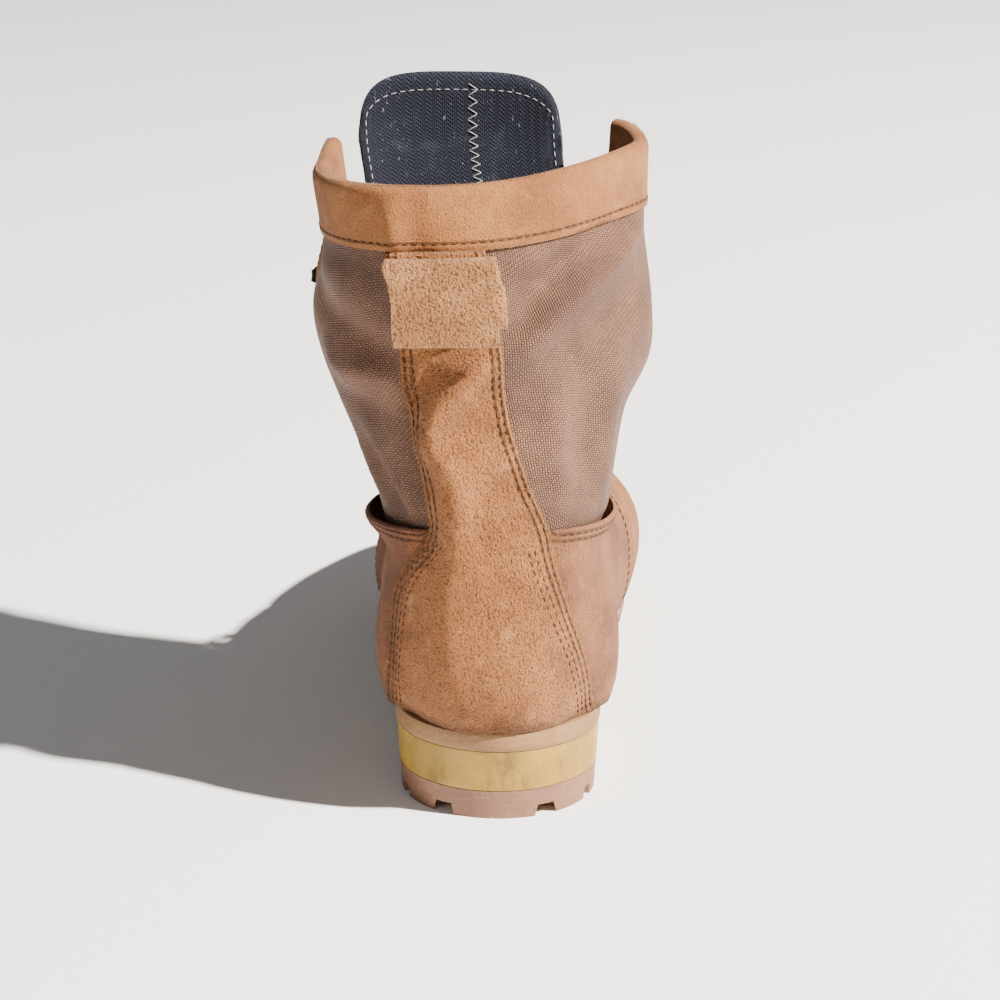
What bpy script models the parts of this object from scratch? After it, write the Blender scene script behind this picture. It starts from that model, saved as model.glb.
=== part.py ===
"""Left desert combat boot of tan rough-out leather and nylon, standing empty on its sole.

The boot points along +Y, its inner (medial) side is +X and +Z is up. The origin is on the floor
under the middle of the heel. Lengths are in metres.
"""

import math
from collections import namedtuple
from functools import lru_cache

import bmesh
import bpy
import numpy as np

# Sole, from above
SOLE_LENGTH = 0.306
BALL_WIDTH = 0.112
HEEL_WIDTH = 0.078
HEEL_REAR = 0.038
TOE_SWING = 0.008
FORE_LENGTH = SOLE_LENGTH - HEEL_REAR

# Sole, from the side: outsole, yellow wedge and tan rand
OUTSOLE_HEEL = 0.0115
OUTSOLE_FORE = 0.0085
WEDGE_HEEL = 0.0160
WEDGE_FORE = 0.0045
RAND_HEEL = 0.0070
RAND_FORE = 0.0055
TOE_SPRING = 0.014
ARCH_RISE = 0.008
TREAD_TAPER = 0.0022
OUTSOLE_TAPER = 0.0015
HEEL_BREAST = 0.046
ARCH_END = 0.100
BREAST_RUN = 0.008
SPRING_START = 0.200
LUG_DEPTH = 0.0045
GROOVE_WIDTH = 0.0065
HEEL_NOTCH_WIDTH = 0.0095
HEEL_NOTCH_PLACE = 0.019
GROOVE_PITCH = 0.0185
GROOVE_REACH = 0.024
CHANNEL_PLACE = 0.016
HEEL_STACK = OUTSOLE_HEEL + WEDGE_HEEL + RAND_HEEL
FORE_STACK = OUTSOLE_FORE + WEDGE_FORE + RAND_FORE

# Upper
UPPER_BULGE = 0.0025
QUARTER_HEIGHT = 0.0745
SHAFT_HEIGHT = 0.1215
SHAFT_WIDTH = 0.120
SHAFT_DEPTH = 0.125
INSTEP_HEIGHT = 0.082
WIDEST_HEIGHT = 0.013
EAR_HEIGHT = 0.004
MEDIAL_RISE = 0.007
UPPER_HEIGHT = QUARTER_HEIGHT + SHAFT_HEIGHT
WALL = 0.0024
VAMP_LEATHER = 0.0014
QUARTER_LEATHER = 0.0018
BACKSTAY_LEATHER = 0.0025
CUFF_LEATHER = 0.0020
EYESTAY_WIDTH = 0.024
SIDE_SPREAD = 0.62
LEDGE_LATERAL = 0.0055
LEDGE_MEDIAL = 0.0025

# Clearances
FIT = 0.0003
SEAM = 0.00035

# Inside and front
INSOLE_GAP = 0.0008
INSOLE_THICKNESS = 0.005
TONGUE_THICKNESS = 0.0035
TONGUE_SET_BACK = 0.0024
TONGUE_TIP = 0.4
TONGUE_FLATNESS = 0.5
TONGUE_SHIFT = -0.0045
TONGUE_BEND_GAP = 0.0018
TONGUE_START = 5.0
TONGUE_END = (14.3, 14.6, 14.8, 14.93, 15.0)
TONGUE_COLUMNS = 11
TONGUE_WIDTH = 0.087
TONGUE_BASE_WIDTH = 0.052
LOOP_WIDTH = 0.037
LOOP_DROP = 0.0255
LOOP_LEATHER = 0.0024
LOOP_COLUMNS = 5
LOOP_GAP = 0.0008
LOOP_HANG = 0.09
LOOP_STAND = 0.0098
LOOP_FLAT = 0.61

# Hardware
EYELET_RADIUS = 0.0042
EYELET_HOLE = 0.0024
EYELET_THICKNESS = 0.0010
EYELET_SET_BACK = 0.0105
EYELET_SPACING = 0.0165
EYELET_FIRST = 0.009
EYELET_SIDES = 10
EYELET_PAIRS = 4
HOOK_PAIRS = 4
HOOK_GAP = 0.018
HOOK_SPACING = 0.0150
HOOK_WIDTH = 0.0075
HOOK_PLATE = 0.0012
HOOK_LENGTH = 0.0105
HOOK_RISE = 0.0058
HARDWARE_GAP = 0.0005
BEND_GAP = 0.0010
BEND_RING = 7.8
LACE_DIAMETER = 0.0034
LACE_LIFT = 0.0024
LACE_SET_BACK = 0.0003
LACE_OVERRUN = 0.35

MEDIAL, LATERAL = 1, -1

Station = namedtuple("Station", "place medial lateral ridge")
# Foot from the heel's middle to the toe. place is a share of FORE_LENGTH, the half widths are
# shares of BALL_WIDTH and the ridge is a share of INSTEP_HEIGHT above the sole.
FOOT = (
    Station(0.00, 0.348, 0.348, 0.86),
    Station(0.22, 0.322, 0.362, 0.96),
    Station(0.36, 0.330, 0.385, 1.00),
    Station(0.47, 0.365, 0.440, 0.92),
    Station(0.60, 0.420, 0.500, 0.77),
    Station(0.75, 0.430, 0.490, 0.63),
    Station(0.88, 0.405, 0.440, 0.535),
    Station(1.00, 0.370, 0.385, 0.50),
)

Heel = namedtuple("Heel", "height back medial lateral centre")
# Heel counter from the sole up. height is a share of QUARTER_HEIGHT, the rest of HEEL_WIDTH.
COUNTER = (
    Heel(0.00, 0.455, 0.468, 0.468, 0.00),
    Heel(0.12, 0.497, 0.515, 0.528, 0.00),
    Heel(0.31, 0.517, 0.532, 0.553, 0.00),
    Heel(0.57, 0.505, 0.515, 0.528, -0.01),
    Heel(0.79, 0.462, 0.520, 0.515, -0.03),
)

Band = namedtuple(
    "Band", "height back front medial lateral centre widest power_medial power_lateral power_front"
)
# Shaft from the quarter's top to the tongue's tip. height is a share of SHAFT_HEIGHT, back, front
# and widest of SHAFT_DEPTH, medial, lateral and centre of SHAFT_WIDTH. A low power cuts a back
# corner straight and a high one fills it. power_front is the lateral front corner's.
SHAFT = (
    Band(0.00, 0.262, 0.76, 0.385, 0.335, -0.040, 0.16, 2.1, 2.1, 2.2),
    Band(0.14, 0.232, 0.75, 0.440, 0.350, -0.075, 0.20, 2.0, 2.1, 2.2),
    Band(0.28, 0.216, 0.72, 0.500, 0.388, -0.105, 0.25, 1.9, 2.2, 2.2),
    Band(0.42, 0.208, 0.72, 0.590, 0.430, -0.125, 0.30, 1.85, 2.3, 2.2),
    Band(0.58, 0.200, 0.74, 0.610, 0.450, -0.140, 0.32, 1.75, 2.4, 2.4),
    Band(0.80, 0.184, 0.79, 0.605, 0.375, -0.170, 0.38, 1.6, 2.6, 2.9),
    Band(1.00, 0.160, 0.85, 0.635, 0.370, -0.200, 0.44, 1.5, 2.8, 3.4),
    Band(1.30, 0.130, 0.90, 0.635, 0.370, -0.200, 0.47, 1.5, 2.8, 3.4),
)

Ring = namedtuple("Ring", "back place rise sag")
# Planes that cut the upper into rings. back is the height at the heel's back and rise the height
# above the sole at the front, as shares of UPPER_HEIGHT. place is where the front height is
# taken, as a share of FORE_LENGTH. sag is how far the ring follows the sole's own curve.
RINGS = (
    Ring(0.000, 1.00, 0.000, 1.00),
    Ring(0.055, 1.00, 0.050, 1.00),
    Ring(0.115, 0.98, 0.100, 0.85),
    Ring(0.180, 0.93, 0.150, 0.70),
    Ring(0.245, 0.84, 0.205, 0.50),
    Ring(0.300, 0.74, 0.260, 0.30),
    Ring(0.345, 0.63, 0.315, 0.15),
    Ring(0.385, 0.515, 0.372, 0.00),
    Ring(0.435, 0.46, 0.437, 0.00),
    Ring(0.505, 0.405, 0.517, 0.00),
    Ring(0.595, 0.365, 0.610, 0.00),
    Ring(0.700, 0.345, 0.715, 0.00),
    Ring(0.800, 0.35, 0.820, 0.00),
    Ring(0.900, 0.37, 0.925, 0.00),
    Ring(1.000, 0.395, 1.035, 0.00),
    Ring(1.150, 0.41, 1.190, 0.00),
)
THROAT_RING = 7
CUFF_RING = 13
COLLAR_RING = 14

Seam = namedtuple("Seam", "ring stay_medial stay_lateral throat_medial throat_lateral")
# Seams on each ring, in shares of HEEL_WIDTH around the upper: the back strip's two edges from
# the back, and the vamp seam or throat edge from the front.
SEAMS = (
    Seam(0, 0.580, 0.680, 1.86, 1.86),
    Seam(2, 0.500, 0.640, 1.66, 1.66),
    Seam(4, 0.380, 0.550, 1.14, 1.14),
    Seam(5, 0.340, 0.450, 0.82, 0.82),
    Seam(6, 0.320, 0.330, 0.52, 0.52),
    Seam(7, 0.315, 0.250, 0.27, 0.27),
    Seam(8, 0.290, 0.225, 0.31, 0.31),
    Seam(10, 0.240, 0.225, 0.48, 0.46),
    Seam(12, 0.228, 0.225, 0.74, 0.66),
    Seam(14, 0.225, 0.222, 0.94, 0.78),
    Seam(15, 0.225, 0.222, 0.96, 0.80),
)

# Grid of the upper: strips across each side and rows up between rings
STAY_STRIPS = 4
SIDE_STRIPS = 6
EYESTAY_STRIPS = 3
VAMP_STRIPS = 8
ROWS = (
    0, 0.5, 1, 1.5, 2.1, 2.8, 3.5, 4.2, 4.8, 5.4, 6, 6.5,
    THROAT_RING, 7.25, 7.5, 7.8, 8.2, 8.7, 9.3, 9.8, 10.3, 10.8, 11.3, 11.8, 12.4,
    CUFF_RING, 13.5, COLLAR_RING,
)
RING_ANGLES = 160

Paint = namedtuple("Paint", "colour roughness metallic")
PAINTS = {
    "nylon": Paint((0.44, 0.31, 0.21), 0.85, 0.0),
    "suede": Paint((0.52, 0.32, 0.18), 0.95, 0.0),
    "nubuck": Paint((0.47, 0.28, 0.17), 0.8, 0.0),
    "lining": Paint((0.03, 0.035, 0.06), 0.9, 0.0),
    "tan_rubber": Paint((0.42, 0.28, 0.19), 0.8, 0.0),
    "yellow_foam": Paint((0.62, 0.46, 0.18), 0.75, 0.0),
    "dark_metal": Paint((0.10, 0.10, 0.08), 0.5, 0.9),
    "cord": Paint((0.40, 0.27, 0.18), 0.8, 0.0),
}


def clear_scene():
    for old in list(bpy.data.objects):
        bpy.data.objects.remove(old)


def material(name):
    made = bpy.data.materials.get(name)
    if made:
        return made
    made = bpy.data.materials.new(name)
    made.use_nodes = True
    shader = made.node_tree.nodes["Principled BSDF"]
    paint = PAINTS[name]
    shader.inputs["Base Color"].default_value = (*paint.colour, 1.0)
    shader.inputs["Roughness"].default_value = paint.roughness
    shader.inputs["Metallic"].default_value = paint.metallic
    made.diffuse_color = (*paint.colour, 1.0)
    return made


def make_object(name, points, faces, paint):
    mesh = bpy.data.meshes.new(name)
    mesh.from_pydata([tuple(p) for p in points], [], faces)
    mesh.validate()
    obj = bpy.data.objects.new(name, mesh)
    bpy.context.scene.collection.objects.link(obj)
    mesh.materials.append(material(paint))
    mesh.shade_smooth()
    mesh.set_sharp_from_angle(angle=math.radians(35))
    return obj


def smooth_through(keys, values, at):
    """A cubic curve through the values, with the slope of each key's neighbours."""
    keys, values = np.asarray(keys, float), np.asarray(values, float)
    slopes = np.gradient(values, keys)
    at = np.clip(np.asarray(at, float), keys[0], keys[-1])
    i = np.clip(np.searchsorted(keys, at, side="right") - 1, 0, len(keys) - 2)
    step = keys[i + 1] - keys[i]
    t = (at - keys[i]) / step
    return (
        (2 * t**3 - 3 * t**2 + 1) * values[i]
        + (t**3 - 2 * t**2 + t) * step * slopes[i]
        + (3 * t**2 - 2 * t**3) * values[i + 1]
        + (t**3 - t**2) * step * slopes[i + 1]
    )


def ease(low, high, at):
    """0 below low, 1 above high and an S curve between."""
    t = np.clip((np.asarray(at, float) - low) / (high - low), 0, 1)
    return t * t * (3 - 2 * t)


def column(rows, name, scale=1.0):
    return np.array([getattr(row, name) for row in rows]) * scale


# Sole surfaces, as heights along the foot


def ground(y):
    """Underside of the sole: flat heel and tread, raised arch and toe spring."""
    y = np.asarray(y, float)
    arch = ease(HEEL_BREAST, HEEL_BREAST + BREAST_RUN, y) * (1 - ease(ARCH_END - BREAST_RUN, ARCH_END, y))
    spring = np.clip((y - SPRING_START) / (FORE_LENGTH - SPRING_START), 0, None) ** 2
    return ARCH_RISE * arch + TOE_SPRING * spring


def stack(y, heel, fore):
    """Height of a layer's top over the tread plane, falling from the heel to the ball."""
    y = np.asarray(y, float)
    fall = ease(HEEL_BREAST / 2, FORE_LENGTH * 0.55, y)
    spring = np.clip((y - SPRING_START) / (FORE_LENGTH - SPRING_START), 0, None) ** 2
    return heel + (fore - heel) * fall + TOE_SPRING * spring


def outsole_top(y):
    """The outsole is carried up by the arch as well."""
    arch = ease(HEEL_BREAST * 0.7, HEEL_BREAST + BREAST_RUN, y)
    arch = arch * (1 - ease(ARCH_END - BREAST_RUN, ARCH_END + BREAST_RUN, y))
    return stack(y, OUTSOLE_HEEL, OUTSOLE_FORE) + ARCH_RISE * 0.45 * arch


def wedge_top(y):
    return stack(y, OUTSOLE_HEEL + WEDGE_HEEL, OUTSOLE_FORE + WEDGE_FORE)


def sole_top(y):
    return stack(y, HEEL_STACK, FORE_STACK)


def half_width(side, y):
    """Half width of the foot's body at y, before the heel and toe are rounded."""
    name = "medial" if side == MEDIAL else "lateral"
    return smooth_through(column(FOOT, "place", FORE_LENGTH), column(FOOT, name, BALL_WIDTH), y)


def swing(y):
    """The toe's curve towards the big toe."""
    return TOE_SWING * ease(FORE_LENGTH * 0.55, FORE_LENGTH, y)


TOE_POWER = 2.3
TOE_START = FORE_LENGTH * 0.73


def sole_edge(side, y, inset):
    """X of the sole's edge at y, with round heel and toe, drawn in by inset."""
    y = np.asarray(y, float)
    rear = np.clip(-y / (HEEL_REAR - inset), 0, 1)
    toe = np.clip((y - TOE_START) / (FORE_LENGTH - inset - TOE_START), 0, 1)
    heel_cap = np.sqrt(np.clip(1 - rear**2, 0, 1))
    toe_cap = np.clip(1 - toe**TOE_POWER, 0, 1) ** (1 / TOE_POWER)
    return swing(y) + side * (half_width(side, y) - inset) * heel_cap * toe_cap


def rung_solid(name, paint, low, high):
    """A closed solid of rungs from side to side. low and high are (lateral, medial) point rows."""
    points = np.concatenate([*low, *high])
    n = len(low[0])
    lo_l, lo_m, hi_l, hi_m = 0, n, 2 * n, 3 * n
    faces = []
    for i in range(n - 1):
        faces.append((lo_l + i, lo_l + i + 1, lo_m + i + 1, lo_m + i))
        faces.append((hi_l + i, hi_m + i, hi_m + i + 1, hi_l + i + 1))
        faces.append((lo_l + i, hi_l + i, hi_l + i + 1, lo_l + i + 1))
        faces.append((lo_m + i, lo_m + i + 1, hi_m + i + 1, hi_m + i))
    faces.append((lo_l, lo_m, hi_m, hi_l))
    faces.append((lo_m + n - 1, lo_l + n - 1, hi_l + n - 1, hi_m + n - 1))
    return make_object(name, points, faces, paint)


def sole_layer(name, paint, low, high, low_inset, high_inset, stations=32):
    """A layer of the sole, whose height follows the foot."""
    share = (1 - np.cos(np.linspace(0.07, math.pi - 0.07, stations))) / 2

    def level(height, inset):
        y = -HEEL_REAR + inset + share * (SOLE_LENGTH - 2 * inset)
        return [np.stack([sole_edge(side, y, inset), y, height(y)], axis=1) for side in (LATERAL, MEDIAL)]

    return rung_solid(name, paint, level(low, low_inset), level(high, high_inset))


# Upper: the boot's form is where this function is 0


FRONT_POWER = 2.2


def foot_form(x, y, z):
    """Below 0 inside the foot: an arch over each station that closes at the toe."""
    side = np.where(x >= swing(y), MEDIAL, LATERAL)
    body = np.where(side == MEDIAL, half_width(MEDIAL, y), half_width(LATERAL, y))
    sole = sole_top(y)
    widest = sole + WIDEST_HEIGHT
    ridge = sole + smooth_through(column(FOOT, "place", FORE_LENGTH), column(FOOT, "ridge", INSTEP_HEIGHT), y)
    width_term = (np.abs(x - swing(y)) / (body + UPPER_BULGE)) ** 2.15
    over = np.clip((z - widest) / (ridge - widest), 0, None) ** 2.05
    under = 0.08 * np.clip((widest - z) / WIDEST_HEIGHT, 0, None) ** 2
    toe = np.clip((y - TOE_START) / (FORE_LENGTH - TOE_START), 0, None) ** TOE_POWER
    rear = np.clip(-y / (HEEL_REAR * 0.5), 0, None) ** 2
    return width_term + over + under + toe + rear - 1


def heel_heights():
    return np.concatenate([
        HEEL_STACK + column(COUNTER, "height", QUARTER_HEIGHT),
        HEEL_STACK + QUARTER_HEIGHT + column(SHAFT, "height", SHAFT_HEIGHT),
    ])


def shaft_size(name, z):
    """One of the shaft's or counter's columns at height z."""
    if name in ("front", "widest"):
        counter = np.full(len(COUNTER), getattr(SHAFT[0], name) * SHAFT_DEPTH)
        counter *= 0.9
    elif name.startswith("power"):
        counter = np.full(len(COUNTER), 2.1)
    else:
        counter = column(COUNTER, name, HEEL_WIDTH)
    if name.startswith("power"):
        scale = 1.0
    elif name in ("back", "front", "widest"):
        scale = SHAFT_DEPTH
    else:
        scale = SHAFT_WIDTH
    return smooth_through(heel_heights(), np.concatenate([counter, column(SHAFT, name, scale)]), z)


def shaft_form(x, y, z):
    """Below 0 inside the heel and shaft: a level oval at each height."""
    across = x - shaft_size("centre", z)
    along = y - shaft_size("widest", z)
    width = np.where(across >= 0, shaft_size("medial", z), shaft_size("lateral", z))
    reach = np.where(
        along >= 0,
        shaft_size("front", z) - shaft_size("widest", z),
        shaft_size("back", z) + shaft_size("widest", z),
    )
    rear_power = np.where(across >= 0, shaft_size("power_medial", z), shaft_size("power_lateral", z))
    front_power = np.where(across >= 0, FRONT_POWER, shaft_size("power_front", z))
    power = np.where(along >= 0, front_power, rear_power)
    return (np.abs(across) / width) ** power + (np.abs(along) / reach) ** power - 1


BLEND = 0.55


def boot_form(x, y, z):
    """Foot and shaft run together with a soft bend at the ankle."""
    a, b = foot_form(x, y, z), shaft_form(x, y, z)
    h = np.clip(0.5 + 0.5 * (b - a) / BLEND, 0, 1)
    return b + (a - b) * h - BLEND * h * (1 - h)


def ring_value(name, up, scale=1.0):
    return float(smooth_through(np.arange(len(RINGS)), column(RINGS, name, scale), up))


def ring_plane(up):
    """The plane of ring number up: its height as a function of y, and its two ends."""
    back_z = HEEL_STACK + FIT + ring_value("back", up, UPPER_HEIGHT)
    back_y = -float(shaft_size("back", back_z))
    front_y = ring_value("place", up, FORE_LENGTH)
    front_z = float(sole_top(front_y)) + FIT + ring_value("rise", up, UPPER_HEIGHT)
    sag = ring_value("sag", up)

    def height(y):
        share = (y - back_y) / (front_y - back_y)
        curve = sole_top(y) - HEEL_STACK - (sole_top(front_y) - HEEL_STACK) * share
        return back_z + (front_z - back_z) * share + sag * curve

    return height, back_y, front_y


@lru_cache(maxsize=None)
def ring_line(side, up):
    """Points on one side of ring number up, from the back of the heel round to the front."""
    height, back_y, front_y = ring_plane(up)
    back_x = float(shaft_size("centre", height(back_y)))
    front_x = float(swing(front_y))
    if up > THROAT_RING - 3:
        front_x += (back_x - front_x) * float(ease(THROAT_RING - 3, COLLAR_RING - 2, up))
    middle = (back_y + front_y) / 2
    turn = np.linspace(0, math.pi, RING_ANGLES)
    near, far = np.zeros(RING_ANGLES), np.full(RING_ANGLES, SOLE_LENGTH)

    def point(reach):
        y = middle - reach * np.cos(turn)
        share = np.clip((y - back_y) / (front_y - back_y), 0, 1)
        x = back_x + (front_x - back_x) * share + side * reach * np.sin(turn)
        return x, y, height(y)

    for _ in range(40):
        reach = (near + far) / 2
        outside = boot_form(*point(reach)) > 0
        far = np.where(outside, reach, far)
        near = np.where(outside, near, reach)
    return np.stack(point((near + far) / 2), axis=1)


def run_of(line):
    return np.concatenate([[0], np.cumsum(np.linalg.norm(np.diff(line, axis=0), axis=1))])


def seam_place(name, up):
    return float(smooth_through(column(SEAMS, "ring"), column(SEAMS, name, HEEL_WIDTH), up))


def strip_places(side, up, length):
    """Distances from the back of the grid's strips on one side of a ring."""
    tag = "medial" if side == MEDIAL else "lateral"
    stay = seam_place("stay_" + tag, up)
    throat = length - seam_place("throat_" + tag, up)
    open_share = float(ease(THROAT_RING - 2.0, THROAT_RING, up))
    spread = stay + (throat - stay) * SIDE_SPREAD
    eyestay = spread + (throat - EYESTAY_WIDTH - spread) * open_share
    return np.concatenate([
        np.linspace(0, stay, STAY_STRIPS + 1),
        np.linspace(stay, eyestay, SIDE_STRIPS + 1)[1:],
        np.linspace(eyestay, throat, EYESTAY_STRIPS + 1)[1:],
        np.linspace(throat, length, VAMP_STRIPS + 1)[1:],
    ])


def on_line(line, run, place):
    return np.stack([np.interp(place, run, line[:, k]) for k in range(3)], axis=-1)


def raised(points, side, up, shares):
    """The collar's front corners rise a little, and its medial side climbs towards the front."""
    points[:, 2] += EAR_HEIGHT * ease(CUFF_RING, COLLAR_RING, up) * ease(0.75, 1.0, shares)
    if side == MEDIAL:
        points[:, 2] += MEDIAL_RISE * ease(CUFF_RING - 1.5, CUFF_RING, up) * ease(0.1, 0.8, shares)
    return points


SIDE_COUNT = STAY_STRIPS + SIDE_STRIPS + EYESTAY_STRIPS + VAMP_STRIPS
EYESTAY_START = STAY_STRIPS + SIDE_STRIPS
THROAT_STRIP = EYESTAY_START + EYESTAY_STRIPS
AROUND = 2 * SIDE_COUNT


def upper_row(up):
    """One row of the upper's grid: the back, the medial side, the front and the lateral side."""
    row = np.zeros((AROUND, 3))
    for side in (MEDIAL, LATERAL):
        line = ring_line(side, up)
        run = run_of(line)
        places = strip_places(side, up, run[-1])
        points = on_line(line, run, places)
        points = raised(points, side, up, places / places[THROAT_STRIP])
        index = side * np.arange(SIDE_COUNT + 1) % AROUND
        row[index] = points
    return row


def surface(rows):
    """The upper's outside at these rows, with its outward normals and its tangents."""
    points = np.stack([upper_row(up) for up in rows])
    around = np.roll(points, -1, axis=1) - np.roll(points, 1, axis=1)
    ups = np.gradient(points, axis=0)
    around /= np.linalg.norm(around, axis=2, keepdims=True)
    ups /= np.linalg.norm(ups, axis=2, keepdims=True)
    normals = np.cross(around, ups)
    normals /= np.linalg.norm(normals, axis=2, keepdims=True)
    level = 1 - ease(0, 2, np.asarray(rows, float))
    normals[..., 2] *= 1 - level[:, None]
    normals /= np.linalg.norm(normals, axis=2, keepdims=True)
    return points, normals, around, ups


def seated(grid):
    """The lowest row just clears the sole's curved top."""
    grid = grid.copy()
    grid[0, :, 2] = sole_top(grid[0, :, 1]) + FIT
    return grid


def slab(name, inner, outer, cells, paint):
    """A closed solid between two grids of points over the chosen cells (row, strip)."""
    rows, strips = inner.shape[:2]
    inner, outer = seated(inner), seated(outer)
    cells = set(cells)
    used, faces = {}, []

    def corner(layer, i, j):
        key = (layer, i, j % strips)
        return used.setdefault(key, len(used))

    for i, j in sorted(cells):
        faces.append(tuple(corner(1, a, b) for a, b in ((i, j), (i, j + 1), (i + 1, j + 1), (i + 1, j))))
        faces.append(tuple(corner(0, a, b) for a, b in ((i, j), (i + 1, j), (i + 1, j + 1), (i, j + 1))))
        borders = (
            ((i - 1, j), (i, j), (i, j + 1)),
            ((i + 1, j), (i + 1, j + 1), (i + 1, j)),
            ((i, (j - 1) % strips), (i + 1, j), (i, j)),
            ((i, (j + 1) % strips), (i, j + 1), (i + 1, j + 1)),
        )
        for beyond, start, end in borders:
            if beyond not in cells:
                faces.append((corner(0, *start), corner(0, *end), corner(1, *end), corner(1, *start)))
    layers = (inner, outer)
    points = [layers[layer][i, j] for layer, i, j in used]
    return make_object(name, points, faces, paint)


def build_upper():
    """The base wall and the leather panels that lie on it."""
    points, normals, around, ups = surface(ROWS)
    throat_row = ROWS.index(THROAT_RING)
    cuff_row = ROWS.index(CUFF_RING)
    top_row = len(ROWS) - 1

    def cells(low, high, start, end):
        return {(i, j % AROUND) for i in range(low, high) for j in range(start, end)}

    body = cells(0, throat_row, 0, AROUND) | cells(throat_row, top_row, -THROAT_STRIP, THROAT_STRIP)
    slab("upper", points - normals * WALL, points, body, "nylon")

    def panel(name, chosen, thickness, paint, flare=0.0):
        """A leather panel just proud of the wall, its border drawn in by half a seam."""
        draw = np.zeros((*points.shape[:2], 2))
        for i in range(points.shape[0]):
            for j in range(AROUND):
                near = [(a, b) for a in (-1, 0) for b in (-1, 0) if (i + a, (j + b) % AROUND) in chosen]
                if 0 < len(near) < 4:
                    pull = np.mean([(2 * a + 1, 2 * b + 1) for a, b in near], axis=0)
                    draw[i, j] = np.sign(np.round(pull, 3))
        shift = (draw[..., :1] * ups + draw[..., 1:] * around) * SEAM / 2
        base = points + shift + normals * np.asarray(flare)[..., None]
        return slab(name, base + normals * FIT, base + normals * (FIT + thickness), chosen, paint)

    rise = ease(THROAT_RING - 2.2, THROAT_RING, ROWS)[:, None]
    rise = rise * (np.arange(len(ROWS))[:, None] <= throat_row)
    strip = np.arange(AROUND)[None, :]
    strip = np.where(strip > AROUND / 2, strip - AROUND, strip)
    swell = np.sin(np.clip((np.abs(strip) - STAY_STRIPS) / SIDE_STRIPS, 0, 1) * math.pi) ** 0.7
    ledge = np.where(strip > 0, LEDGE_MEDIAL, LEDGE_LATERAL) * swell * rise

    for side, tag in ((MEDIAL, "medial"), (LATERAL, "lateral")):
        low, high = (STAY_STRIPS, THROAT_STRIP) if side == MEDIAL else (-THROAT_STRIP, -STAY_STRIPS)
        stay = (EYESTAY_START, THROAT_STRIP) if side == MEDIAL else (-THROAT_STRIP, -EYESTAY_START)
        quarter = cells(0, throat_row, low, high) | cells(throat_row, cuff_row, *stay)
        panel("quarter_" + tag, quarter, QUARTER_LEATHER, "nubuck", ledge)
    panel("vamp", cells(0, throat_row, THROAT_STRIP, AROUND - THROAT_STRIP), VAMP_LEATHER, "suede")
    panel("backstay", cells(0, cuff_row, -STAY_STRIPS, STAY_STRIPS), BACKSTAY_LEATHER, "suede")
    panel("cuff", cells(cuff_row, top_row, -THROAT_STRIP, THROAT_STRIP), CUFF_LEATHER, "nubuck")


def spot(side, up, place, from_throat=True):
    """A point of the surface with its outward normal, upward and throatward directions."""
    def at(height, shift):
        line = ring_line(side, height)
        run = run_of(line)
        start = strip_places(side, height, run[-1])[THROAT_STRIP] if from_throat else 0.0
        return on_line(line, run, start + place + shift)

    point = at(up, 0)
    toward = at(up, 0.002) - at(up, -0.002)
    rise = at(up + 0.1, 0) - at(up - 0.1, 0)
    toward /= np.linalg.norm(toward)
    normal = np.cross(side * toward, rise)
    normal /= np.linalg.norm(normal)
    rise = np.cross(normal, side * toward)
    return point, normal, rise, toward


def throat_ups(side, places):
    """Ring numbers at these distances up the throat's edge from its base."""
    ups = np.linspace(THROAT_RING, COLLAR_RING, 29)
    edge = []
    for up in ups:
        line = ring_line(side, up)
        run = run_of(line)
        edge.append(on_line(line, run, strip_places(side, up, run[-1])[THROAT_STRIP]))
    return np.interp(places, run_of(np.array(edge)), ups)


def strip_solid(name, rows_inner, rows_outer, paint):
    """A closed solid between two sheets of points."""
    n, m = rows_inner.shape[:2]
    points = np.concatenate([rows_inner.reshape(-1, 3), rows_outer.reshape(-1, 3)])
    up = n * m
    faces = []
    for i in range(n - 1):
        for j in range(m - 1):
            a, b, c, d = i * m + j, i * m + j + 1, (i + 1) * m + j + 1, (i + 1) * m + j
            faces.append((a, d, c, b))
            faces.append((up + a, up + b, up + c, up + d))
    border = [j for j in range(m)] + [i * m + m - 1 for i in range(1, n)]
    border += [(n - 1) * m + j for j in range(m - 2, -1, -1)] + [i * m for i in range(n - 2, 0, -1)]
    for a, b in zip(border, border[1:] + border[:1]):
        faces.append((a, b, up + b, up + a))
    return make_object(name, points, faces, paint)


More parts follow.
